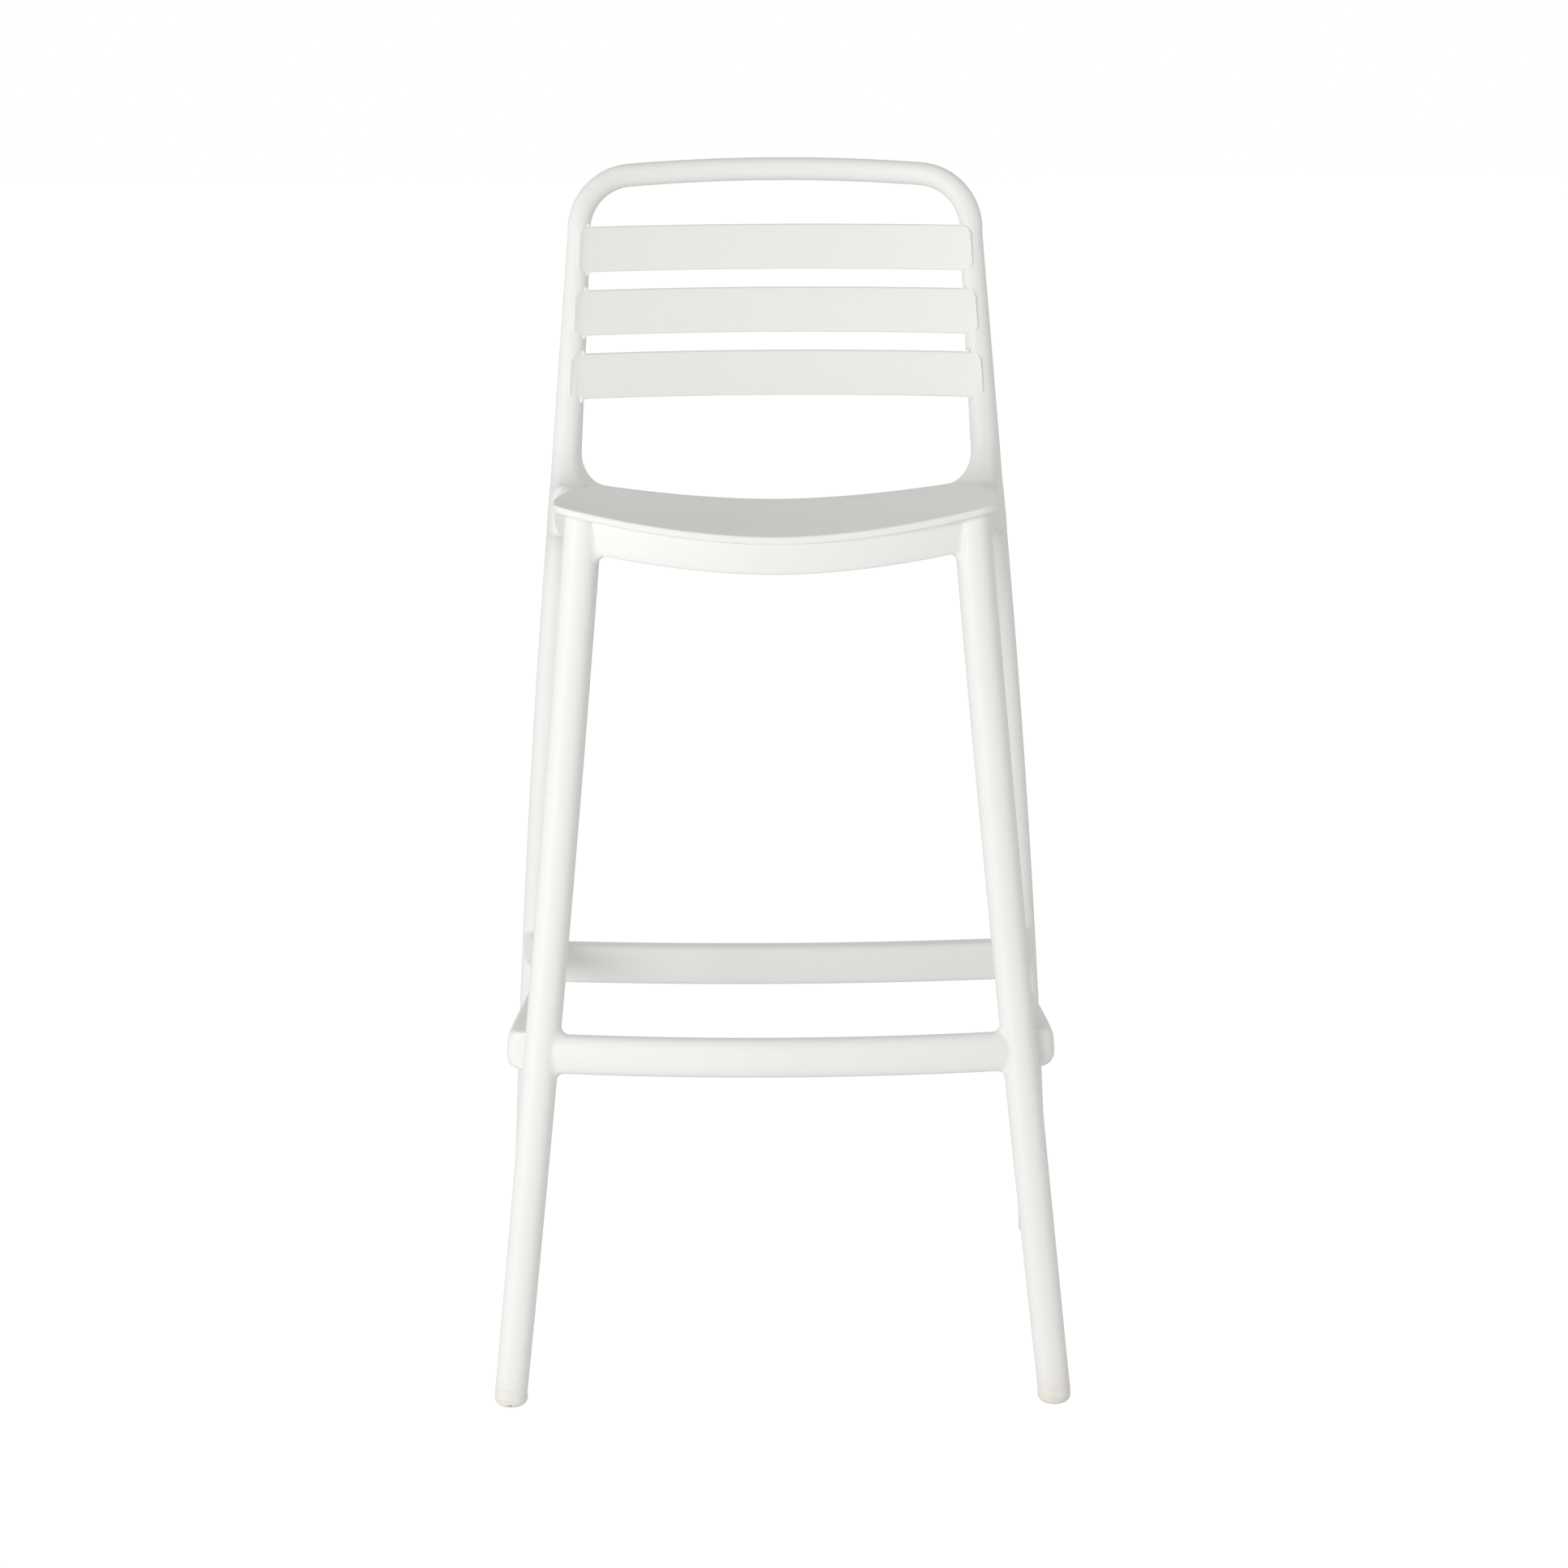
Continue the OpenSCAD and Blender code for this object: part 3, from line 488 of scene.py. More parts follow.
def rear_leg_rings(n=96, leg_steps=60, turns=20, wall_steps=5, post_steps=50):
    """A rear leg and its post. Round the seat each ring swells inwards and forwards, along a quarter
    round below and one above. The upper one starts on the rear bearer, on the seat's top where the
    seat lies under it, and on the side bearer's rounded shoulder."""
    t = angles(n)[None, :]

    # For each t, the heights at which the swell begins, is full, starts to fade and has gone
    x, y = rear_leg_centre(CREST)
    a, b = rear_leg_half(CREST)
    toe = lerp(TOE_REACH, TOE_RUN, smooth((-np.sin(t) - TOE_FROM) / (1 - TOE_FROM)))
    toe = np.where(np.cos(t) > 0, TOE_RUN, toe)
    u, v = oval(t, a, a + KNUCKLE_W, b, b + toe)
    ahead = smooth(-np.sin(t))
    on_seat = np.where(np.cos(t) < 0, smooth((-v - ON_SEAT_FROM) / ON_SEAT_RUN), ahead)
    fall = (1 - np.abs(np.cos(t)) ** BEARER_SQUARE) ** (1 / BEARER_SQUARE)
    shoulder = np.where(np.cos(t) > 0, fall, 1)
    seat = seat_top(np.minimum(x + u, SEAT_SIDE_X), y + v) - FLARE_SUNK
    edge = lerp(KNUCKLE_HIGH - 2 * FLARE_SUNK, lerp((CREST + BELLY) / 2, seat, shoulder), on_seat)
    top = lerp(KNUCKLE_HIGH + BACK_CORNER_H + TUCK, CREST + TOE_H, ahead)
    low, radius = lerp(KNUCKLE_LOW, BELLY, ahead), lerp(KNUCKLE_R, TOE_FADE, ahead)

    # Rings up the leg, round into the swell, up its wall, round out of it and up the post
    quarter = np.linspace(0, math.pi / 2, turns)[:, None]
    flat, rise = 1 - np.cos(quarter), 1 - np.sin(quarter)
    share = np.linspace(0, 1, leg_steps, endpoint=False)[:, None]
    wall = np.linspace(0, 1, wall_steps + 2)[1:-1, None]
    post = np.linspace(0, 1, post_steps)[1:, None]
    z = np.concatenate([
        lerp(FOOT_H, low - radius, share),
        low - radius * rise,
        lerp(low, edge, wall),
        edge + (top - edge) * rise[::-1],
        lerp(top, POST_END_Z, post) + 0 * t,
    ])
    swell = np.concatenate([0 * share, flat, 1 + 0 * wall, flat[::-1], 0 * post])
    x, y = rear_leg_centre(z)
    a, b = rear_leg_half(z)
    u, v = oval(t, a, a + (KNUCKLE_W + KNUCKLE_OVERLAP) * swell, b, b + toe * swell)
    tilt = LEAN_ANGLE * smooth((z - TILT_FROM) / (POST_END_Z - TILT_FROM))
    rings = points(x + u * np.cos(tilt), y + v, z - u * np.sin(tilt))
    return with_tails(rings, start=5, finish=5)


def rail_rings(n=96, turns=26, steps=50):
    """The top rail and both its corners. The tube's middle line turns from the post's own line
    through a circle into a shallow parabola over the hand hold, and all of it bows backwards
    between the posts."""
    t = angles(n)[None, :]
    a = np.linspace(-LEAN_ANGLE, math.pi / 2 - CROWN_ANGLE, turns)[:, None]
    share = (a - a[0]) / (a[-1] - a[0])
    post_x = REAR_SEAT[0] - POST_LEAN * (POST_END_Z - SEAT_H)
    shift = post_x - CORNER_X - CORNER_R * math.cos(LEAN_ANGLE)
    x = CORNER_X + CORNER_R * np.cos(a) + shift * (1 - share)
    z = CORNER_Z + CORNER_R * np.sin(a)
    depth = lerp(POST_TOP_D, RAIL_D, share)
    crown_x = np.linspace(x[-1, 0], -x[-1, 0], steps)[1:-1, None]
    crown_z = z[-1, 0] + RAIL_CROWN * (1 - (crown_x / x[-1, 0]) ** 2)
    slant = np.arctan(2 * RAIL_CROWN * crown_x / x[-1, 0] ** 2)
    mid_x = np.concatenate([x, crown_x, -x[::-1]])
    mid_z = np.concatenate([z, crown_z, z[::-1]])
    turn = np.concatenate([a, math.pi / 2 - slant, math.pi - a[::-1]])
    half = np.concatenate([depth, 0 * crown_x + RAIL_D, depth[::-1]]) / 2
    u, v = oval(t, RAIL_T / 2, RAIL_T / 2, half, half)
    y = rear_leg_centre(mid_z)[1] + BACK_BOW * np.maximum(0, 1 - (mid_x / POST_TOP_X) ** 2)
    rings = points(mid_x + u * np.cos(turn), y + v, mid_z + u * np.sin(turn))
    return with_tails(rings, start=5, finish=5)


def slat_place(i):
    """Back slat number i from the top: its height, the x of its end and the y of its front at the
    post, which stands a little proud of the post's own front."""
    z = UPPER_SLAT_Z - i * (SLAT_H + SLAT_GAP)
    x, y = rear_leg_centre(z)
    a, b = rear_leg_half(z)
    return z, float(x + a) - SLAT_INSET, float(y - b) - SLAT_PROUD


def slat_rings(i, per_corner=7, steps=30, turns=12, end_turns=5):
    """A back slat. A rounded strip is carried across the back on a parabola, with a slight forward
    curl near its ends. Towards each end its height is drawn in along a quarter circle, and its
    thickness along a smaller one."""
    z, end_x, front = slat_place(i)
    inner = end_x - SLAT_CORNER_R
    flat = np.linspace(0, inner, steps)[:-1]
    turn = np.linspace(0, math.pi / 2, turns)
    corner_x = inner + (SLAT_CORNER_R - SLAT_END_R) * np.sin(turn)
    corner_half = SLAT_H / 2 - SLAT_CORNER_R * (1 - np.cos(turn)) * SLAT_CORNER_FALL
    turn = np.linspace(0, math.pi / 2, end_turns + 1)[1:]
    drawn = SLAT_END_R * (1 - np.cos(turn))
    x = np.concatenate([flat, corner_x, corner_x[-1] + SLAT_END_R * np.sin(turn)])
    half = np.concatenate([0 * flat + SLAT_H / 2, corner_half, corner_half[-1] - drawn])
    thin = np.concatenate([0 * flat, 0 * corner_x, drawn])
    x = np.concatenate([-x[:0:-1], x])[:, None]
    half, thin = (np.concatenate([q[:0:-1], q])[:, None] for q in (half, thin))
    edge_r = np.minimum(SLAT_EDGE_R, SLAT_T / 2 - thin - SLAT_END_FLAT)
    u, v = rounded(SLAT_T / 2 - thin, half, edge_r, per_corner)
    curl = SLAT_CURL * (1 - np.clip((np.abs(x) - end_x + SLAT_CURL_RUN) / SLAT_CURL_RUN, 0, 1) ** 2)
    y = front + SLAT_T / 2 + curl + (BACK_BOW - SLAT_CURL) * (1 - (x / end_x) ** 2)
    arch = SLAT_ARCH * (1 - (x / end_x) ** 2)
    return points(x - v * POST_LEAN * x / end_x, y + u + v * POST_SLOPE_Y, z + arch + v)


def slat_corner_rings(i, way, n=9, steps=15, shrunk=0.999):
    """Fillet on the right between back slat i and the post, above the slat (way 1) or below it
    (way -1): a quarter round of radius r from the slat's edge to the post's side, where r follows
    a half ellipse along the rear part of the slat's edge, less a trifle so that its first and last
    ring stay open. The rest of each ring lies inside the slat and the post."""
    z, _, front = slat_place(i)
    q = np.linspace(-1, 1, steps)[:, None]
    r = SLAT_FILLET * np.sqrt(1 - shrunk * q * q)
    a = np.linspace(0, math.pi / 2, n)[None, :]
    in_post, in_slat = 0 * q - SLAT_FILLET, 0 * q - 1
    u = np.concatenate([r * (1 - np.sin(a)), in_post, in_post, r], axis=1)
    v = np.concatenate([r * (1 - np.cos(a)), r, in_slat, in_slat], axis=1)
    up = way * (SLAT_H / 2 - SLAT_FILLET_SUNK + v)
    y = front + SLAT_T * (SLAT_FILLET_AT + SLAT_FILLET_HALF * q) + up * POST_SLOPE_Y
    post_x = rear_leg_centre(z + up)[0] - rear_leg_half(z + up)[0]
    return points(post_x + SLAT_FILLET_SUNK - u, y, z + up)


# Seat

def seat_top(x, y):
    """Height of the saddle: a fall and a slight dip from front to rear, plus a rise towards the
    sides that goes with the power of x."""
    t = (y + SEAT_FRONT_Y) / (SEAT_FRONT_Y + SEAT_REAR_Y)
    p = SADDLE_POWER
    rise = lerp(SEAT_FRONT_RISE / SEAT_FRONT_X**p, SEAT_REAR_RISE / SEAT_REAR_X**p, t)
    return SEAT_H - SEAT_FALL * t - 4 * SEAT_DIP * t * (1 - t) + rise * np.abs(x) ** p


def front_edge_y(x):
    """Front edge seen from above: a parabola."""
    return -SEAT_FRONT_Y + SEAT_FRONT_BOW * (x / SEAT_FRONT_X) ** 2


def rear_edge_y(x):
    """Rear edge seen from above: a parabola."""
    return SEAT_REAR_Y - SEAT_REAR_BOW * (x / SEAT_REAR_X) ** 2


def seat_outline(n, steps=80):
    """The seat seen from above, n points of even spacing: parabolas in front and behind, a quarter
    circle at each corner, and sides that swell between them."""
    rf, rr = SEAT_FRONT_R, SEAT_REAR_R
    lean_f = math.atan(2 * SEAT_FRONT_BOW * (SEAT_FRONT_X - rf) / SEAT_FRONT_X**2)
    lean_r = math.atan(2 * SEAT_REAR_BOW * (SEAT_REAR_X - rr) / SEAT_REAR_X**2)
    xf = SEAT_FRONT_X - rf + rf * math.sin(lean_f)
    xr = SEAT_REAR_X - rr + rr * math.sin(lean_r)
    cf = (xf - rf * math.sin(lean_f), front_edge_y(xf) + rf * math.cos(lean_f))
    cr = (xr - rr * math.sin(lean_r), rear_edge_y(xr) - rr * math.cos(lean_r))
    u = np.linspace(0, 1, steps)
    bend_f = lerp(lean_f - math.pi / 2, 0, u)
    bend_r = lerp(0, math.pi / 2 - lean_r, u)
    x = np.concatenate([
        xf * u[:-1],
        cf[0] + rf * np.cos(bend_f),
        bowed(cf[0] + rf, cr[0] + rr, SEAT_SIDE_BOW, u[1:-1]),
        cr[0] + rr * np.cos(bend_r),
        xr * (1 - u[1:]),
    ])
    y = np.concatenate([
        front_edge_y(xf * u[:-1]),
        cf[1] + rf * np.sin(bend_f),
        lerp(cf[1], cr[1], u[1:-1]),
        cr[1] + rr * np.sin(bend_r),
        rear_edge_y(xr * (1 - u[1:])),
    ])
    x, y = np.concatenate([x, -x[-2::-1]]), np.concatenate([y, y[-2::-1]])
    length = np.concatenate([[0], np.cumsum(np.hypot(np.diff(x), np.diff(y)))])
    at = np.linspace(0, length[-1], n, endpoint=False)
    return np.interp(at, length, x), np.interp(at, length, y)


def seat_rings(n=320, steps=40, turns=25, first=0.02, last=0.97, apart=0.002):
    """The seat panel: its outline drawn in ring by ring, on the saddle below and above, with a
    squarish round nose between them. The rings on the saddle crowd towards the nose, and the last
    of them stays a small share apart from it."""
    x, y = seat_outline(n)
    nose = SEAT_T / 2
    a = np.linspace(-math.pi / 2, math.pi / 2, turns)
    power = 2 / NOSE_SQUARE
    inset = nose * (1 - np.cos(a) ** power)
    depth = nose * (1 - np.sign(np.sin(a)) * np.abs(np.sin(a)) ** power)
    spread = np.sin(np.linspace(first, last, steps) * math.pi / 2)
    spread = spread * (1 - nose / SEAT_FRONT_X - apart)
    share = np.concatenate([spread, 1 - inset / SEAT_FRONT_X, spread[::-1]])[:, None]
    depth = np.concatenate([np.full(steps, SEAT_T), depth, np.zeros(steps)])[:, None]
    px, py = x * share, SEAT_MID_Y + (y - SEAT_MID_Y) * share
    return points(px, py, seat_top(px, py) - depth)


def end_radius(t, full, level, pull):
    """Radius of the ball where a member meets a leg under the seat: full in size below and small
    on top. It goes between the two smoothly with level - pull sin t."""
    return lerp(UNDER_SEAT_R, full, smooth(level - pull * np.sin(t)))


def apron_low(x):
    """Height of the front apron's lower edge, which rises towards the legs with the power of x."""
    return SEAT_H - SEAT_T - APRON_H + APRON_RISE * (np.abs(x) / FRONT_TOP[0]) ** SADDLE_POWER


def apron_face(x):
    """Front face of the apron seen from above: a parabola."""
    return -SEAT_FRONT_Y + APRON_SETBACK + APRON_BOW * (x / FRONT_TOP[0]) ** 2


def apron_shape(t, x):
    """Front apron: a tall narrow oval carried along the seat's front edge, with its top inside the
    seat."""
    low, high = apron_low(x), seat_top(x, front_edge_y(x)) - SEAT_T / 2
    tall = (high - low) / 2
    u, v = oval(t, APRON_T / 2, APRON_T / 2, tall, tall, *APRON_SQUARE)
    return points(x, apron_face(x) + APRON_T / 2 + u, (high + low) / 2 + v)


def apron_rings(n=112, steps=100):
    """Front apron, rolled into both front legs."""
    radius = end_radius(angles(n), APRON_FILLET, level=0.75, pull=1.2)
    return bar(apron_shape, front_leg_gap, radius, clear=90, inside=160, n=n, steps=steps)


def bearer_shape(t, y):
    """Side bearer: an oval carried from the front leg to the rear leg, which widens inwards with
    the square of the way k that it has gone. Its top lies under the seat's edge in front and comes
    out beside it further back, with the same square."""
    mid_z = SEAT_H - BEARER_H / 2
    ax, ay = front_leg_centre(mid_z)
    bx, by = rear_leg_centre(mid_z)
    k = (y - ay) / (by - ay)
    edge = seat_top(np.minimum(bowed(ax, bx, -BEARER_BEND, k), SEAT_FRONT_X), y) - SEAT_T / 2
    high = edge - TUCK + (BEARER_CREST + TUCK) * k * k
    low = edge - SEAT_T / 2 - BEARER_H
    tall = (high - low) / 2
    half = lerp(BEARER_W / 2, rear_leg_half(mid_z)[0] - BEARER_INSIDE, k**3)
    u, v = oval(t, half, half + BEARER_SPREAD * k * k, tall, tall, BEARER_SQUARE)
    z = (high + low) / 2 + v
    return points(bowed(front_leg_centre(z)[0], rear_leg_centre(z)[0], -BEARER_BEND, k) + u, y, z)


def bearer_rings(n=72, steps=70):
    """Side bearer, rolled into the front leg and ended inside the rear leg, whose toe meets it."""
    front = float(front_leg_centre(SEAT_H - BEARER_H / 2)[1])
    rear = float(rear_leg_centre(SEAT_H - BEARER_H / 2)[1])
    t = angles(n)
    radius = end_radius(t, BEARER_FILLET, level=0.6, pull=0.6)
    start, front_end = roll_in(bearer_shape, front_leg_gap, radius, clear=front + 90, inside=front, n=n)
    share = np.linspace(0, 1, steps)[:, None]
    body = bearer_shape(t[None, :], lerp(start[None, :], rear - BEARER_SHORT, share))
    return np.concatenate([front_end[::-1], body])


def rear_bearer_rings(n=64, steps=80):
    """Rear bearer: an oval carried under the seat's rear edge from one rear leg to the other."""
    x = np.linspace(-REAR_SEAT[0], REAR_SEAT[0], steps)[:, None]
    deep, tall = REAR_BEARER_T / 2, REAR_BEARER_H / 2
    u, v = oval(angles(n)[None, :], deep, deep, tall, tall, REAR_BEARER_SQUARE)
    z = seat_top(np.minimum(np.abs(x), SEAT_REAR_X), SEAT_REAR_Y) - SEAT_T / 2 - tall
    return points(x, SEAT_REAR_Y - REAR_BEARER_SETBACK + u, z + v)


def rib_rings(along_x, place, start, finish, low, per_corner=4, steps=60):
    """One stiffening rib: a thin strip with a rounded lower edge, carried straight across under
    the seat with its top inside the panel."""
    s = np.linspace(start, finish, steps)[:, None]
    x, y = (s, place) if along_x else (place, s)
    high = seat_top(x, y) - SEAT_T / 2
    u, v = rounded(RIB_T / 2, (high - low) / 2, RIB_EDGE_R, per_corner)
    mid = (high + low) / 2
    return points(s, place + u, mid + v) if along_x else points(place + u, s, mid + v)


def rib_shells():
    """The ribs under the seat: two from the apron to the rear bearer and three across, from one
    side bearer to the other. Their lower edges stay a little above the apron's."""
    low = apron_low(RIB_X) + RIB_CLEAR
    front, rear = apron_face(RIB_X) + APRON_T / 2, SEAT_REAR_Y - REAR_BEARER_T / 4
    ribs = [rib_rings(False, side * RIB_X, front, rear, low) for side in (-1, 1)]
    for i in (-1, 0, 1):
        y = i * RIB_PITCH - RIB_SHIFT
        x = lerp(FRONT_TOP[0], REAR_SEAT[0], (y + FRONT_TOP[1]) / (REAR_SEAT[1] + FRONT_TOP[1]))
        ribs.append(rib_rings(True, y, -x, x, low))
    return [shell(r) for r in ribs]


# Footrests and feet

def rest_rings(rest, centre, gap, n=72, steps=90):
    """A footrest between two legs, rolled into both."""
    cx, cy = (float(c) for c in centre(rest["z"]))
    deep, tall = rest["t"] / 2, rest["h"] / 2

    def shape(t, x):
        """An oval carried from leg to leg on a parabola that bows forwards."""
        u, v = oval(t, deep, deep, tall, tall, rest["upper"], rest["lower"])
        return points(x, cy - rest["bow"] * (1 - (x / cx) ** 2) + u, rest["z"] + v)

    return bar(shape, gap, REST_FILLET, clear=cx - 60, inside=cx, n=n, steps=steps)


def side_rest_shape(t, y):
    """Side footrest: a tall rounded strip that starts beside the front leg, pulls in towards the
    middle of the stool on a cubic curve and thickens at both ends with squares of the way k. The
    front end also swells outwards, stands higher, leans out below and has a rounder lower side, by
    a share near that falls to 0 with a square. A quarter circle trims its nose."""
    ax, ay = front_leg_centre(SIDE_Z[0])
    bx, by = rear_leg_centre(SIDE_Z[1])
    start = ay + SIDE_START
    run = by - rear_leg_half(SIDE_Z[1])[1] / 3 - start
    d = y - start
    k = d / run
    trim = fillet(d, SIDE_NOSE)
    clasp = SIDE_CLASP * np.maximum(0, 1 - k / SIDE_CLASP_RUN) ** 2
    grip = SIDE_GRIP * np.maximum(0, (k - SIDE_GRIP_FROM) / (1 - SIDE_GRIP_FROM)) ** 2
    half = (SIDE_T + clasp + grip - trim) / 2
    off = handles(SIDE_OUT, SIDE_PULL * SIDE_OUT, -SIDE_IN, SIDE_FLARE, k) - trim / 2
    tall = SIDE_H / 2 - trim / 6
    near = np.maximum(0, 1 - k / SIDE_NEAR_RUN) ** 2
    upper, lower = tall + SIDE_LIFT * near, tall - SIDE_DROP * near
    above, below = SIDE_SQUARE[0], SIDE_SQUARE[1] - SIDE_SOFTER * near
    u, v = oval(t, half + SIDE_SWELL * near, half, upper, lower, above, below)
    u = u - SIDE_LEAN * near * v / tall
    return points(lerp(ax, bx, k) + off + u, y, lerp(SIDE_Z[0], SIDE_Z[1], k) + v)


def side_rest_rings(n=72, steps=80, turns=12):
    """Side footrest, with a blunt round nose in front and rolled into the rear leg."""
    start = float(front_leg_centre(SIDE_Z[0])[1]) + SIDE_START
    rear = float(rear_leg_centre(SIDE_Z[1])[1])
    touch, end = roll_in(side_rest_shape, rear_leg_gap, SIDE_FILLET, clear=rear - 60, inside=rear - 2, n=n)
    t = angles(n)[None, :]
    nose = start + SIDE_NOSE * (1 - np.cos(np.linspace(0, math.pi / 2, turns)))[:, None]
    share = np.linspace(0, 1, steps)[1:, None]
    nose_rings = side_rest_shape(t, nose + 0 * t)
    body = side_rest_shape(t, lerp(nose[-1, 0], touch[None, :], share))
    return np.concatenate([nose_rings, body, end])


def foot_rings(x, y, n=96, turns=16, steps=5):
    """A foot: a flat sole of two rings, a quarter circle round its edge, and upright above. It is
    round at the floor and takes on the leg's own section at the top, where its tail goes up into
    the leg."""
    e, t = FOOT_EDGE_R, angles(n)[None, :]
    a = np.linspace(-math.pi / 2, 0, turns)[:, None]
    wall = np.linspace(e, FOOT_H, steps + 1)[1:, None]
    sole = e + np.array(SOLE_INSETS)[:, None]
    inset = np.concatenate([sole, e * (1 - np.cos(a)), 0 * wall])
    z = np.concatenate([0 * sole, e * (1 + np.sin(a)), wall])
    share = smooth(z / FOOT_H)
    half = lerp(FOOT_D, ANKLE_D, share) / 2 - inset
    u, v = oval(t, half, half, half, half, lerp(2, LEG_SQUARE, share))
    return with_tails(points(x + u, y + v, z + 0 * t), finish=5)


# Materials

def group_of(name, inputs, outputs):
    """An empty shader node group with named sockets: its tree, its inputs and its outputs."""
    tree = bpy.data.node_groups.new(name, "ShaderNodeTree")
    for label, kind, value in inputs:
        socket = tree.interface.new_socket(label, in_out="INPUT", socket_type=kind)
        if value is not None:
            socket.default_value = value
    for label, kind in outputs:
        tree.interface.new_socket(label, in_out="OUTPUT", socket_type=kind)
    return tree, tree.nodes.new("NodeGroupInput"), tree.nodes.new("NodeGroupOutput")


def node(tree, kind, links=(), **values):
    """Adds a node, sets its properties and sockets, and links its inputs."""
    made = tree.nodes.new(kind)
    for key, value in values.items():
        if hasattr(made, key):
            setattr(made, key, value)
        else:
            made.inputs[key.replace("_", " ")].default_value = value
    for socket, source in links:
        tree.links.new(source, made.inputs[socket])
    return made


def times(tree, a, b):
    """Product of a mask and another mask or a number."""
    made = node(tree, "ShaderNodeMath", [(0, a)], operation="MULTIPLY")
    if isinstance(b, (int, float)):
        made.inputs[1].default_value = b
    else:
        tree.links.new(b, made.inputs[1])
    return made.outputs[0]


def noise(tree, enter, scale, detail, roughness):
    """Noise texture inside a group, as fine as the group's input of the given name says."""
    links = [("Vector", enter.outputs["Vector"]), ("Scale", enter.outputs[scale])]
    return node(tree, "ShaderNodeTexNoise", links, Detail=detail, Roughness=roughness).outputs["Fac"]


def moulded_grain():
    """Height of the fine grain that a sand-blasted mould leaves, with a slow waviness under it."""
    tree, enter, leave = group_of(
        "moulded_grain",
        [("Vector", "NodeSocketVector", None), ("Grain", "NodeSocketFloat", 1800.0),
         ("Wave", "NodeSocketFloat", 14.0)],
        [("Height", "NodeSocketFloat")])
    fine = noise(tree, enter, "Grain", detail=2.0, roughness=0.6)
    slow = times(tree, noise(tree, enter, "Wave", detail=1.0, roughness=0.4), 3.0)
    total = node(tree, "ShaderNodeMath", [(0, fine), (1, slow)], operation="ADD")
    tree.links.new(total.outputs[0], leave.inputs["Height"])
    return tree


def soft_blotches():
    """Mask of soft uneven blotches: 0 where a noise is below From, 1 where it is above To, and
    3t^2 - 2t^3 between them."""
    tree, enter, leave = group_of(
        "soft_blotches",
        [("Vector", "NodeSocketVector", None), ("Scale", "NodeSocketFloat", 9.0),
         ("From", "NodeSocketFloat", 0.5), ("To", "NodeSocketFloat", 0.75)],
        [("Mask", "NodeSocketFloat")])
    uneven = noise(tree, enter, "Scale", detail=5.0, roughness=0.55)
    limits = [("From Min", enter.outputs["From"]), ("From Max", enter.outputs["To"])]
    spread = node(tree, "ShaderNodeMapRange", [("Value", uneven), *limits], interpolation_type="SMOOTHSTEP")
    tree.links.new(spread.outputs["Result"], leave.inputs["Mask"])
    return tree


def near_point():
    """Mask that is 1 at a point and fades smoothly to 0 at a distance Reach from it."""
    tree, enter, leave = group_of(
        "near_point",
        [("Vector", "NodeSocketVector", None), ("Point", "NodeSocketVector", None),
         ("Reach", "NodeSocketFloat", 0.02)],
        [("Mask", "NodeSocketFloat")])
    ends = [(0, enter.outputs["Vector"]), (1, enter.outputs["Point"])]
    away = node(tree, "ShaderNodeVectorMath", ends, operation="DISTANCE")
    limits = [("Value", away.outputs["Value"]), ("From Max", enter.outputs["Reach"])]
    spread = node(tree, "ShaderNodeMapRange", limits, interpolation_type="SMOOTHSTEP",
                  To_Min=1.0, To_Max=0.0)
    tree.links.new(spread.outputs["Result"], leave.inputs["Mask"])
    return tree


GRAIN = moulded_grain()
BLOTCHES = soft_blotches()
NEAR = near_point()


def placed_group(tree, group, vector, **values):
    """Places a node group in a material, reading the given coordinates."""
    made = tree.nodes.new("ShaderNodeGroup")
    made.node_tree = group
    tree.links.new(vector, made.inputs["Vector"])
    for key, value in values.items():
        made.inputs[key].default_value = value
    return made


def mixed(tree, mask, low, high, share):
    """Colour that goes from low towards high by the mask times share."""
    scaled = times(tree, mask, share)
    mix = tree.nodes.new("ShaderNodeMix")
    mix.data_type = "RGBA"
    tree.links.new(scaled, mix.inputs["Factor"])
    for socket, value in (("A", low), ("B", high)):
        target = next(s for s in mix.inputs if s.name == socket and s.type == "RGBA")
        if isinstance(value, tuple):
            target.default_value = (*value, 1)
        else:
            tree.links.new(value, target)
    return next(s for s in mix.outputs if s.type == "RGBA")


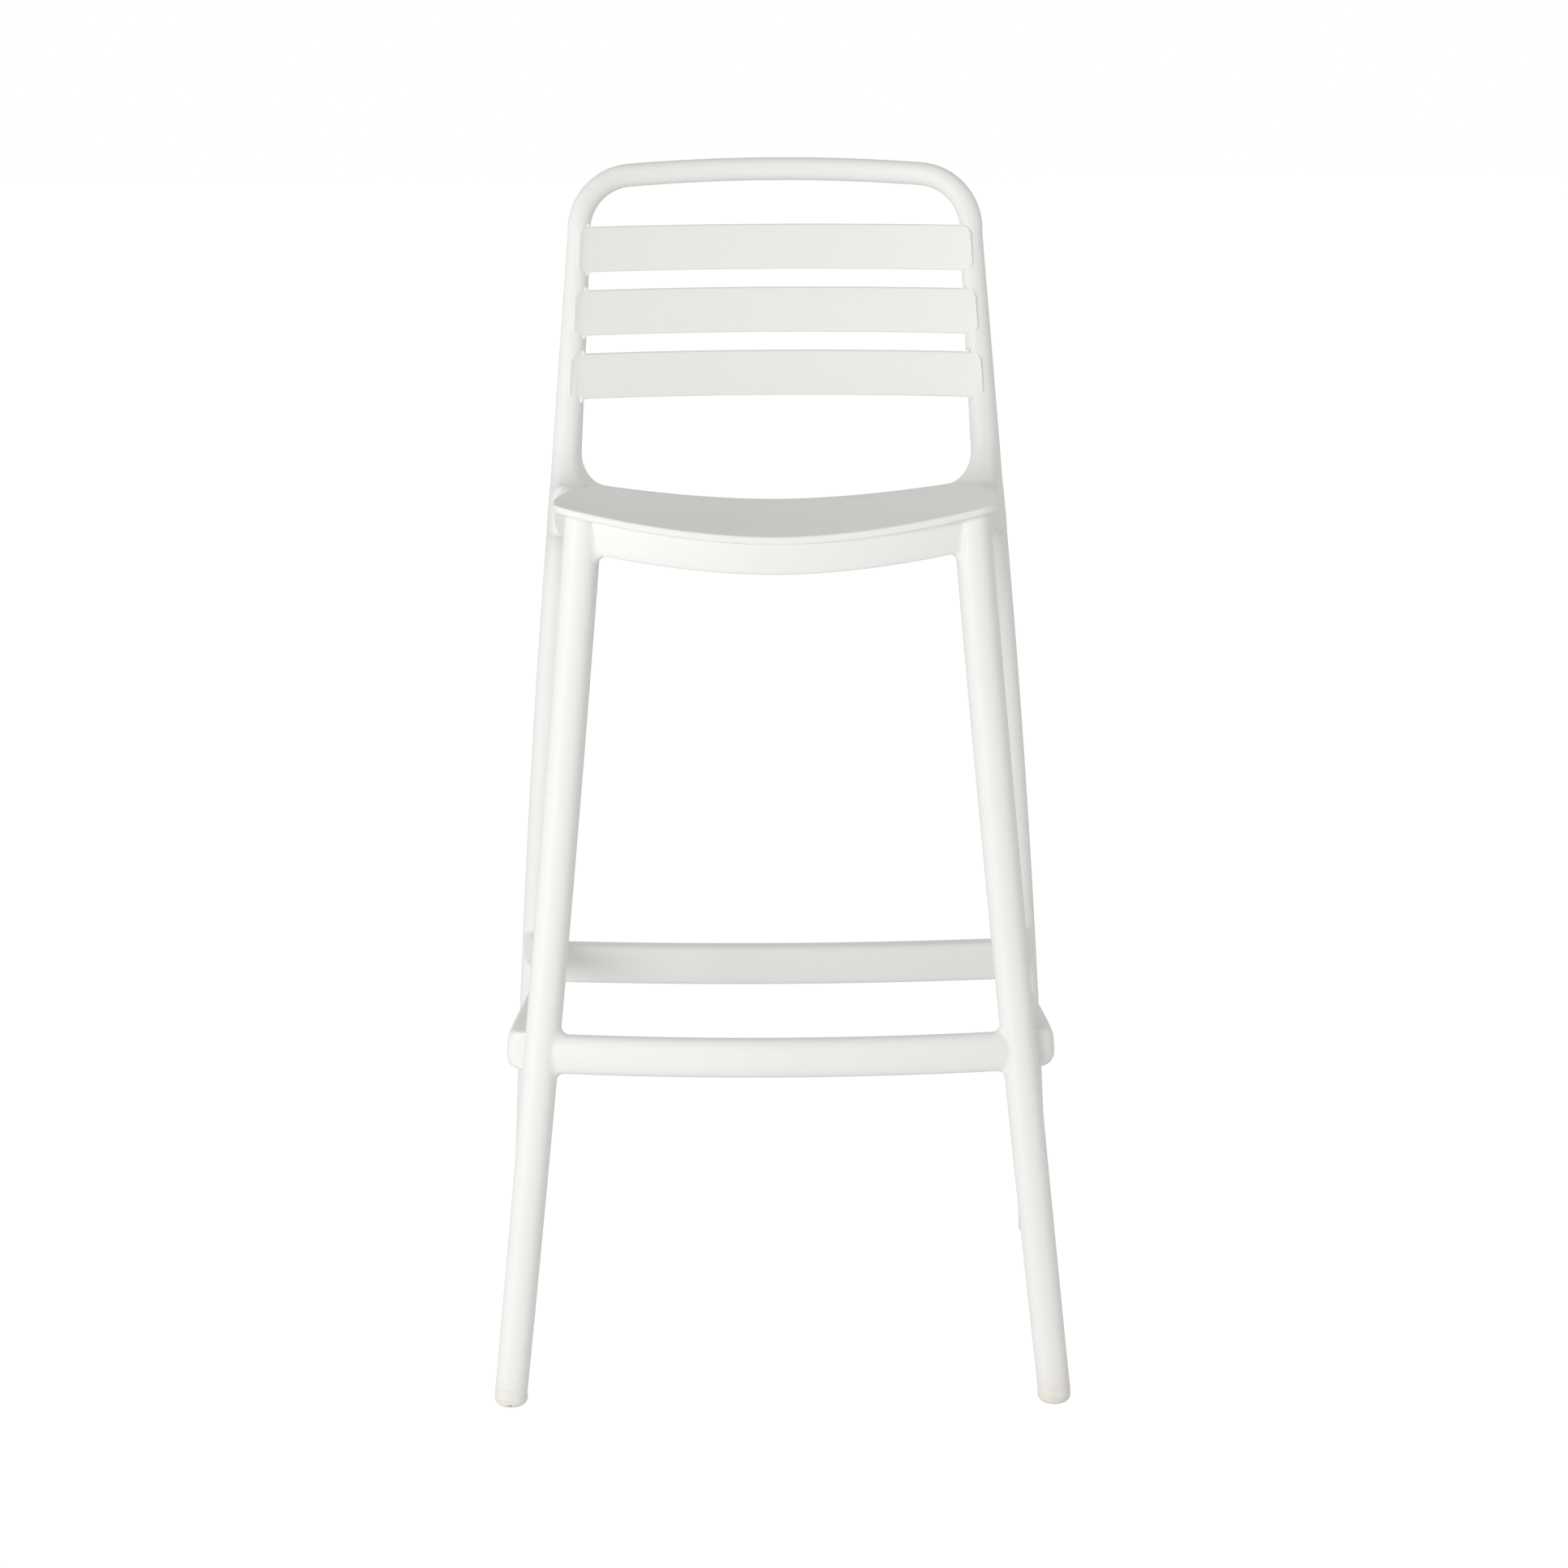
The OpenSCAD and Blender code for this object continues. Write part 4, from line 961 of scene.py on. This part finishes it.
def plastic(name, white, warm, soil, marks):
    """Satin white polypropylene: grain in the bump and the roughness, a slow drift of tone, grime
    near the floor, faint handling stains, and single scuffs at given places."""
    material = bpy.data.materials.new(name)
    material.use_nodes = True
    tree = material.node_tree
    tree.nodes.clear()
    out = tree.nodes.new("ShaderNodeOutputMaterial")
    shader = node(tree, "ShaderNodeBsdfPrincipled", IOR=1.49, Specular_IOR_Level=0.4)
    tree.links.new(shader.outputs["BSDF"], out.inputs["Surface"])
    place = tree.nodes.new("ShaderNodeTexCoord").outputs["Object"]

    drift = placed_group(tree, BLOTCHES, place, Scale=5.0, From=0.35, To=0.7)
    stain = placed_group(tree, BLOTCHES, place, Scale=17.0, From=0.56, To=0.8)
    speck = placed_group(tree, BLOTCHES, place, Scale=240.0, From=0.6, To=0.68)
    parts = node(tree, "ShaderNodeSeparateXYZ", [("Vector", place)])
    low = node(tree, "ShaderNodeMapRange", [("Value", parts.outputs["Z"])], interpolation_type="SMOOTHSTEP",
               From_Min=0.0, From_Max=GRIME_TOP, To_Min=1.0, To_Max=0.0)
    colour = mixed(tree, drift.outputs["Mask"], white, warm, WARM_SHARE)
    colour = mixed(tree, stain.outputs["Mask"], colour, soil, STAIN_SHARE)
    grime = times(tree, low.outputs["Result"], drift.outputs["Mask"])
    colour = mixed(tree, grime, colour, soil, GRIME_SHARE)
    for spot, reach, share in marks:
        near = placed_group(tree, NEAR, place, Point=spot, Reach=reach)
        rubbed = times(tree, near.outputs["Mask"], speck.outputs["Mask"])
        colour = mixed(tree, rubbed, colour, SCUFF_DARK, share)
    tree.links.new(colour, shader.inputs["Base Color"])

    grain = placed_group(tree, GRAIN, place, Grain=1500.0, Wave=12.0).outputs["Height"]
    bump = node(tree, "ShaderNodeBump", [("Height", grain)], Strength=0.12, Distance=0.0002)
    tree.links.new(bump.outputs["Normal"], shader.inputs["Normal"])
    rough = node(tree, "ShaderNodeMapRange", [("Value", drift.outputs["Mask"])], To_Min=0.44, To_Max=0.54)
    tree.links.new(rough.outputs["Result"], shader.inputs["Roughness"])
    return material


WHITE = (0.905, 0.905, 0.895)
WARM_WHITE = (0.885, 0.88, 0.855)
FOOT_WHITE = (0.90, 0.89, 0.835)
FOOT_WARM = (0.88, 0.865, 0.79)
SOIL = (0.62, 0.57, 0.47)
SCUFF_DARK = (0.16, 0.14, 0.12)
WARM_SHARE, STAIN_SHARE, GRIME_SHARE = 0.5, 0.05, 0.3
GRIME_TOP = 0.05

# Place, reach and strength of each scuff: one on the left front foot
SCUFFS = [((-0.234, -0.261, 0.004), 0.012, 0.8)]
FRAME_PLASTIC = plastic("frame_plastic", WHITE, WARM_WHITE, SOIL, SCUFFS)
FOOT_PLASTIC = plastic("foot_plastic", FOOT_WHITE, FOOT_WARM, SOIL, SCUFFS)


# The stool

def dress():
    """Makes every piece of the stool in place of its CAD node."""
    def frame_piece(name, *rings):
        """A piece of the frame's plastic, from the rings of each of its skins."""
        piece(name + "_skin", name, [shell(r) for r in rings], FRAME_PLASTIC)

    front, rear, bearer, side_rest = front_leg_rings(), rear_leg_rings(), bearer_rings(), side_rest_rings()
    feet = {"front": front_leg_centre(FOOT_H), "rear": rear_leg_centre(FOOT_H)}
    for side, turned in (("right", lambda r: r), ("left", mirrored)):
        frame_piece(f"front_{side}_leg", turned(front))
        frame_piece(f"rear_{side}_leg", turned(rear))
        frame_piece(f"{side}_bearer", turned(bearer))
        frame_piece(f"{side}_footrest", turned(side_rest))
        for end, (x, y) in feet.items():
            name = f"{end}_{side}_foot"
            piece(name + "_skin", name, [shell(turned(foot_rings(x, y)))], FOOT_PLASTIC)
    frame_piece("top_rail", rail_rings())
    for i, name in enumerate(("upper_slat", "middle_slat", "lower_slat")):
        corners = [slat_corner_rings(i, way) for way in (-1, 1)]
        frame_piece(name, slat_rings(i), *corners, *(mirrored(c) for c in corners))
    frame_piece("seat_panel", seat_rings())
    frame_piece("front_apron", apron_rings())
    frame_piece("rear_bearer", rear_bearer_rings())
    piece("seat_ribs_skin", "seat_ribs", rib_shells(), FRAME_PLASTIC)
    frame_piece("front_footrest", rest_rings(FRONT_REST, front_leg_centre, front_leg_gap))
    frame_piece("rear_rail", rest_rings(REAR_REST, rear_leg_centre, rear_leg_gap))


dress()


# Camera, light and floor

CAMERA_AT = (-0.0072, -3.399, 1.1564)
CAMERA_YAW, CAMERA_PITCH, CAMERA_ROLL = (math.radians(d) for d in (0.203, 10.973, 0.310))
FOCAL_PIXELS = 4715
PHOTO_PIXELS = 1932
SENSOR = 36.0
LIGHT_COLOUR = (1.0, 0.997, 0.975, 1)
FLOOR_HALF = 30.0
FLOOR_SHINE = 1.06


def placing(across, up, back, place):
    """Matrix that puts an object at a place, with its own x, y and z along three directions."""
    return Matrix([(across[i], up[i], back[i], place[i]) for i in range(3)] + [(0, 0, 0, 1)])


def make_camera():
    """The photograph's camera. Its forward direction is turned from +Y by the yaw and down by the
    pitch, and the picture is then turned by the roll."""
    right = np.array([math.cos(CAMERA_YAW), -math.sin(CAMERA_YAW), 0])
    ahead = np.array([
        math.sin(CAMERA_YAW) * math.cos(CAMERA_PITCH),
        math.cos(CAMERA_YAW) * math.cos(CAMERA_PITCH),
        -math.sin(CAMERA_PITCH),
    ])
    down = np.cross(ahead, right)
    c, s = math.cos(CAMERA_ROLL), math.sin(CAMERA_ROLL)
    across, below = c * right + s * down, c * down - s * right
    data = bpy.data.cameras.new("camera")
    data.sensor_fit = "HORIZONTAL"
    data.sensor_width = SENSOR
    data.lens = SENSOR * FOCAL_PIXELS / PHOTO_PIXELS
    data.clip_start, data.clip_end = 0.05, 100
    camera = bpy.data.objects.new("camera", data)
    camera.matrix_world = placing(across, -below, -ahead, CAMERA_AT)
    bpy.context.scene.collection.objects.link(camera)
    bpy.context.scene.camera = camera


def seen(tree):
    """1 for rays that the viewer sees directly, otherwise 0."""
    return tree.nodes.new("ShaderNodeLightPath").outputs["Is Camera Ray"]


def make_world(level, overhead):
    """White where it is seen. Everywhere else a soft light that goes from one strength, at eye
    level and below, to another overhead."""
    world = bpy.data.worlds.new("studio")
    bpy.context.scene.world = world
    world.use_nodes = True
    tree = world.node_tree
    tree.nodes.clear()
    direction = tree.nodes.new("ShaderNodeTexCoord").outputs["Generated"]
    height = node(tree, "ShaderNodeSeparateXYZ", [("Vector", direction)]).outputs["Z"]
    strength = node(tree, "ShaderNodeMapRange", [("Value", height)], interpolation_type="SMOOTHSTEP",
                    To_Min=level, To_Max=overhead).outputs["Result"]
    light = node(tree, "ShaderNodeBackground", [("Strength", strength)], Color=LIGHT_COLOUR)
    white = node(tree, "ShaderNodeBackground", Color=(1, 1, 1, 1), Strength=1.0)
    both = [(0, seen(tree)), (1, light.outputs[0]), (2, white.outputs[0])]
    mix = node(tree, "ShaderNodeMixShader", both)
    out = tree.nodes.new("ShaderNodeOutputWorld")
    tree.links.new(mix.outputs[0], out.inputs["Surface"])


def make_floor(tone, glow):
    """A wide matt floor. Where it is seen, most of its white comes from a glow, which leaves a
    faint shadow under the stool."""
    mesh = bpy.data.meshes.new("floor")
    corners = [(x * FLOOR_HALF, y * FLOOR_HALF, 0) for x, y in ((-1, -1), (1, -1), (1, 1), (-1, 1))]
    mesh.from_pydata(corners, [], [(0, 1, 2, 3)])
    material = bpy.data.materials.new("floor_white")
    material.use_nodes = True
    tree = material.node_tree
    tree.nodes.clear()
    matt = node(tree, "ShaderNodeBsdfDiffuse", Color=(tone, tone, tone, 1))
    white = node(tree, "ShaderNodeEmission", Color=(1, 1, 1, 1), Strength=FLOOR_SHINE)
    both = [(0, times(tree, seen(tree), glow)), (1, matt.outputs[0]), (2, white.outputs[0])]
    mix = node(tree, "ShaderNodeMixShader", both)
    out = tree.nodes.new("ShaderNodeOutputMaterial")
    tree.links.new(mix.outputs[0], out.inputs["Surface"])
    mesh.materials.append(material)
    floor = bpy.data.objects.new("floor", mesh)
    bpy.context.scene.collection.objects.link(floor)


def make_softbox(name, place, aim, size, watts):
    """A square soft light at a place, turned towards the point aim."""
    data = bpy.data.lights.new(name, "AREA")
    data.shape = "SQUARE"
    data.size = size
    data.energy = watts
    lamp = bpy.data.objects.new(name, data)
    back = np.array(place, float) - np.array(aim, float)
    back /= np.linalg.norm(back)
    side = np.cross((0, 0, 1), back)
    side /= np.linalg.norm(side)
    lamp.matrix_world = placing(side, np.cross(back, side), back, place)
    bpy.context.scene.collection.objects.link(lamp)


make_camera()
make_world(level=0.82, overhead=0.45)
make_floor(tone=0.94, glow=0.93)
make_softbox("key", place=(-2.6, -3.8, 0.95), aim=(0, 0, 0.6), size=2.4, watts=88)
bpy.context.scene.view_settings.view_transform = "Standard"
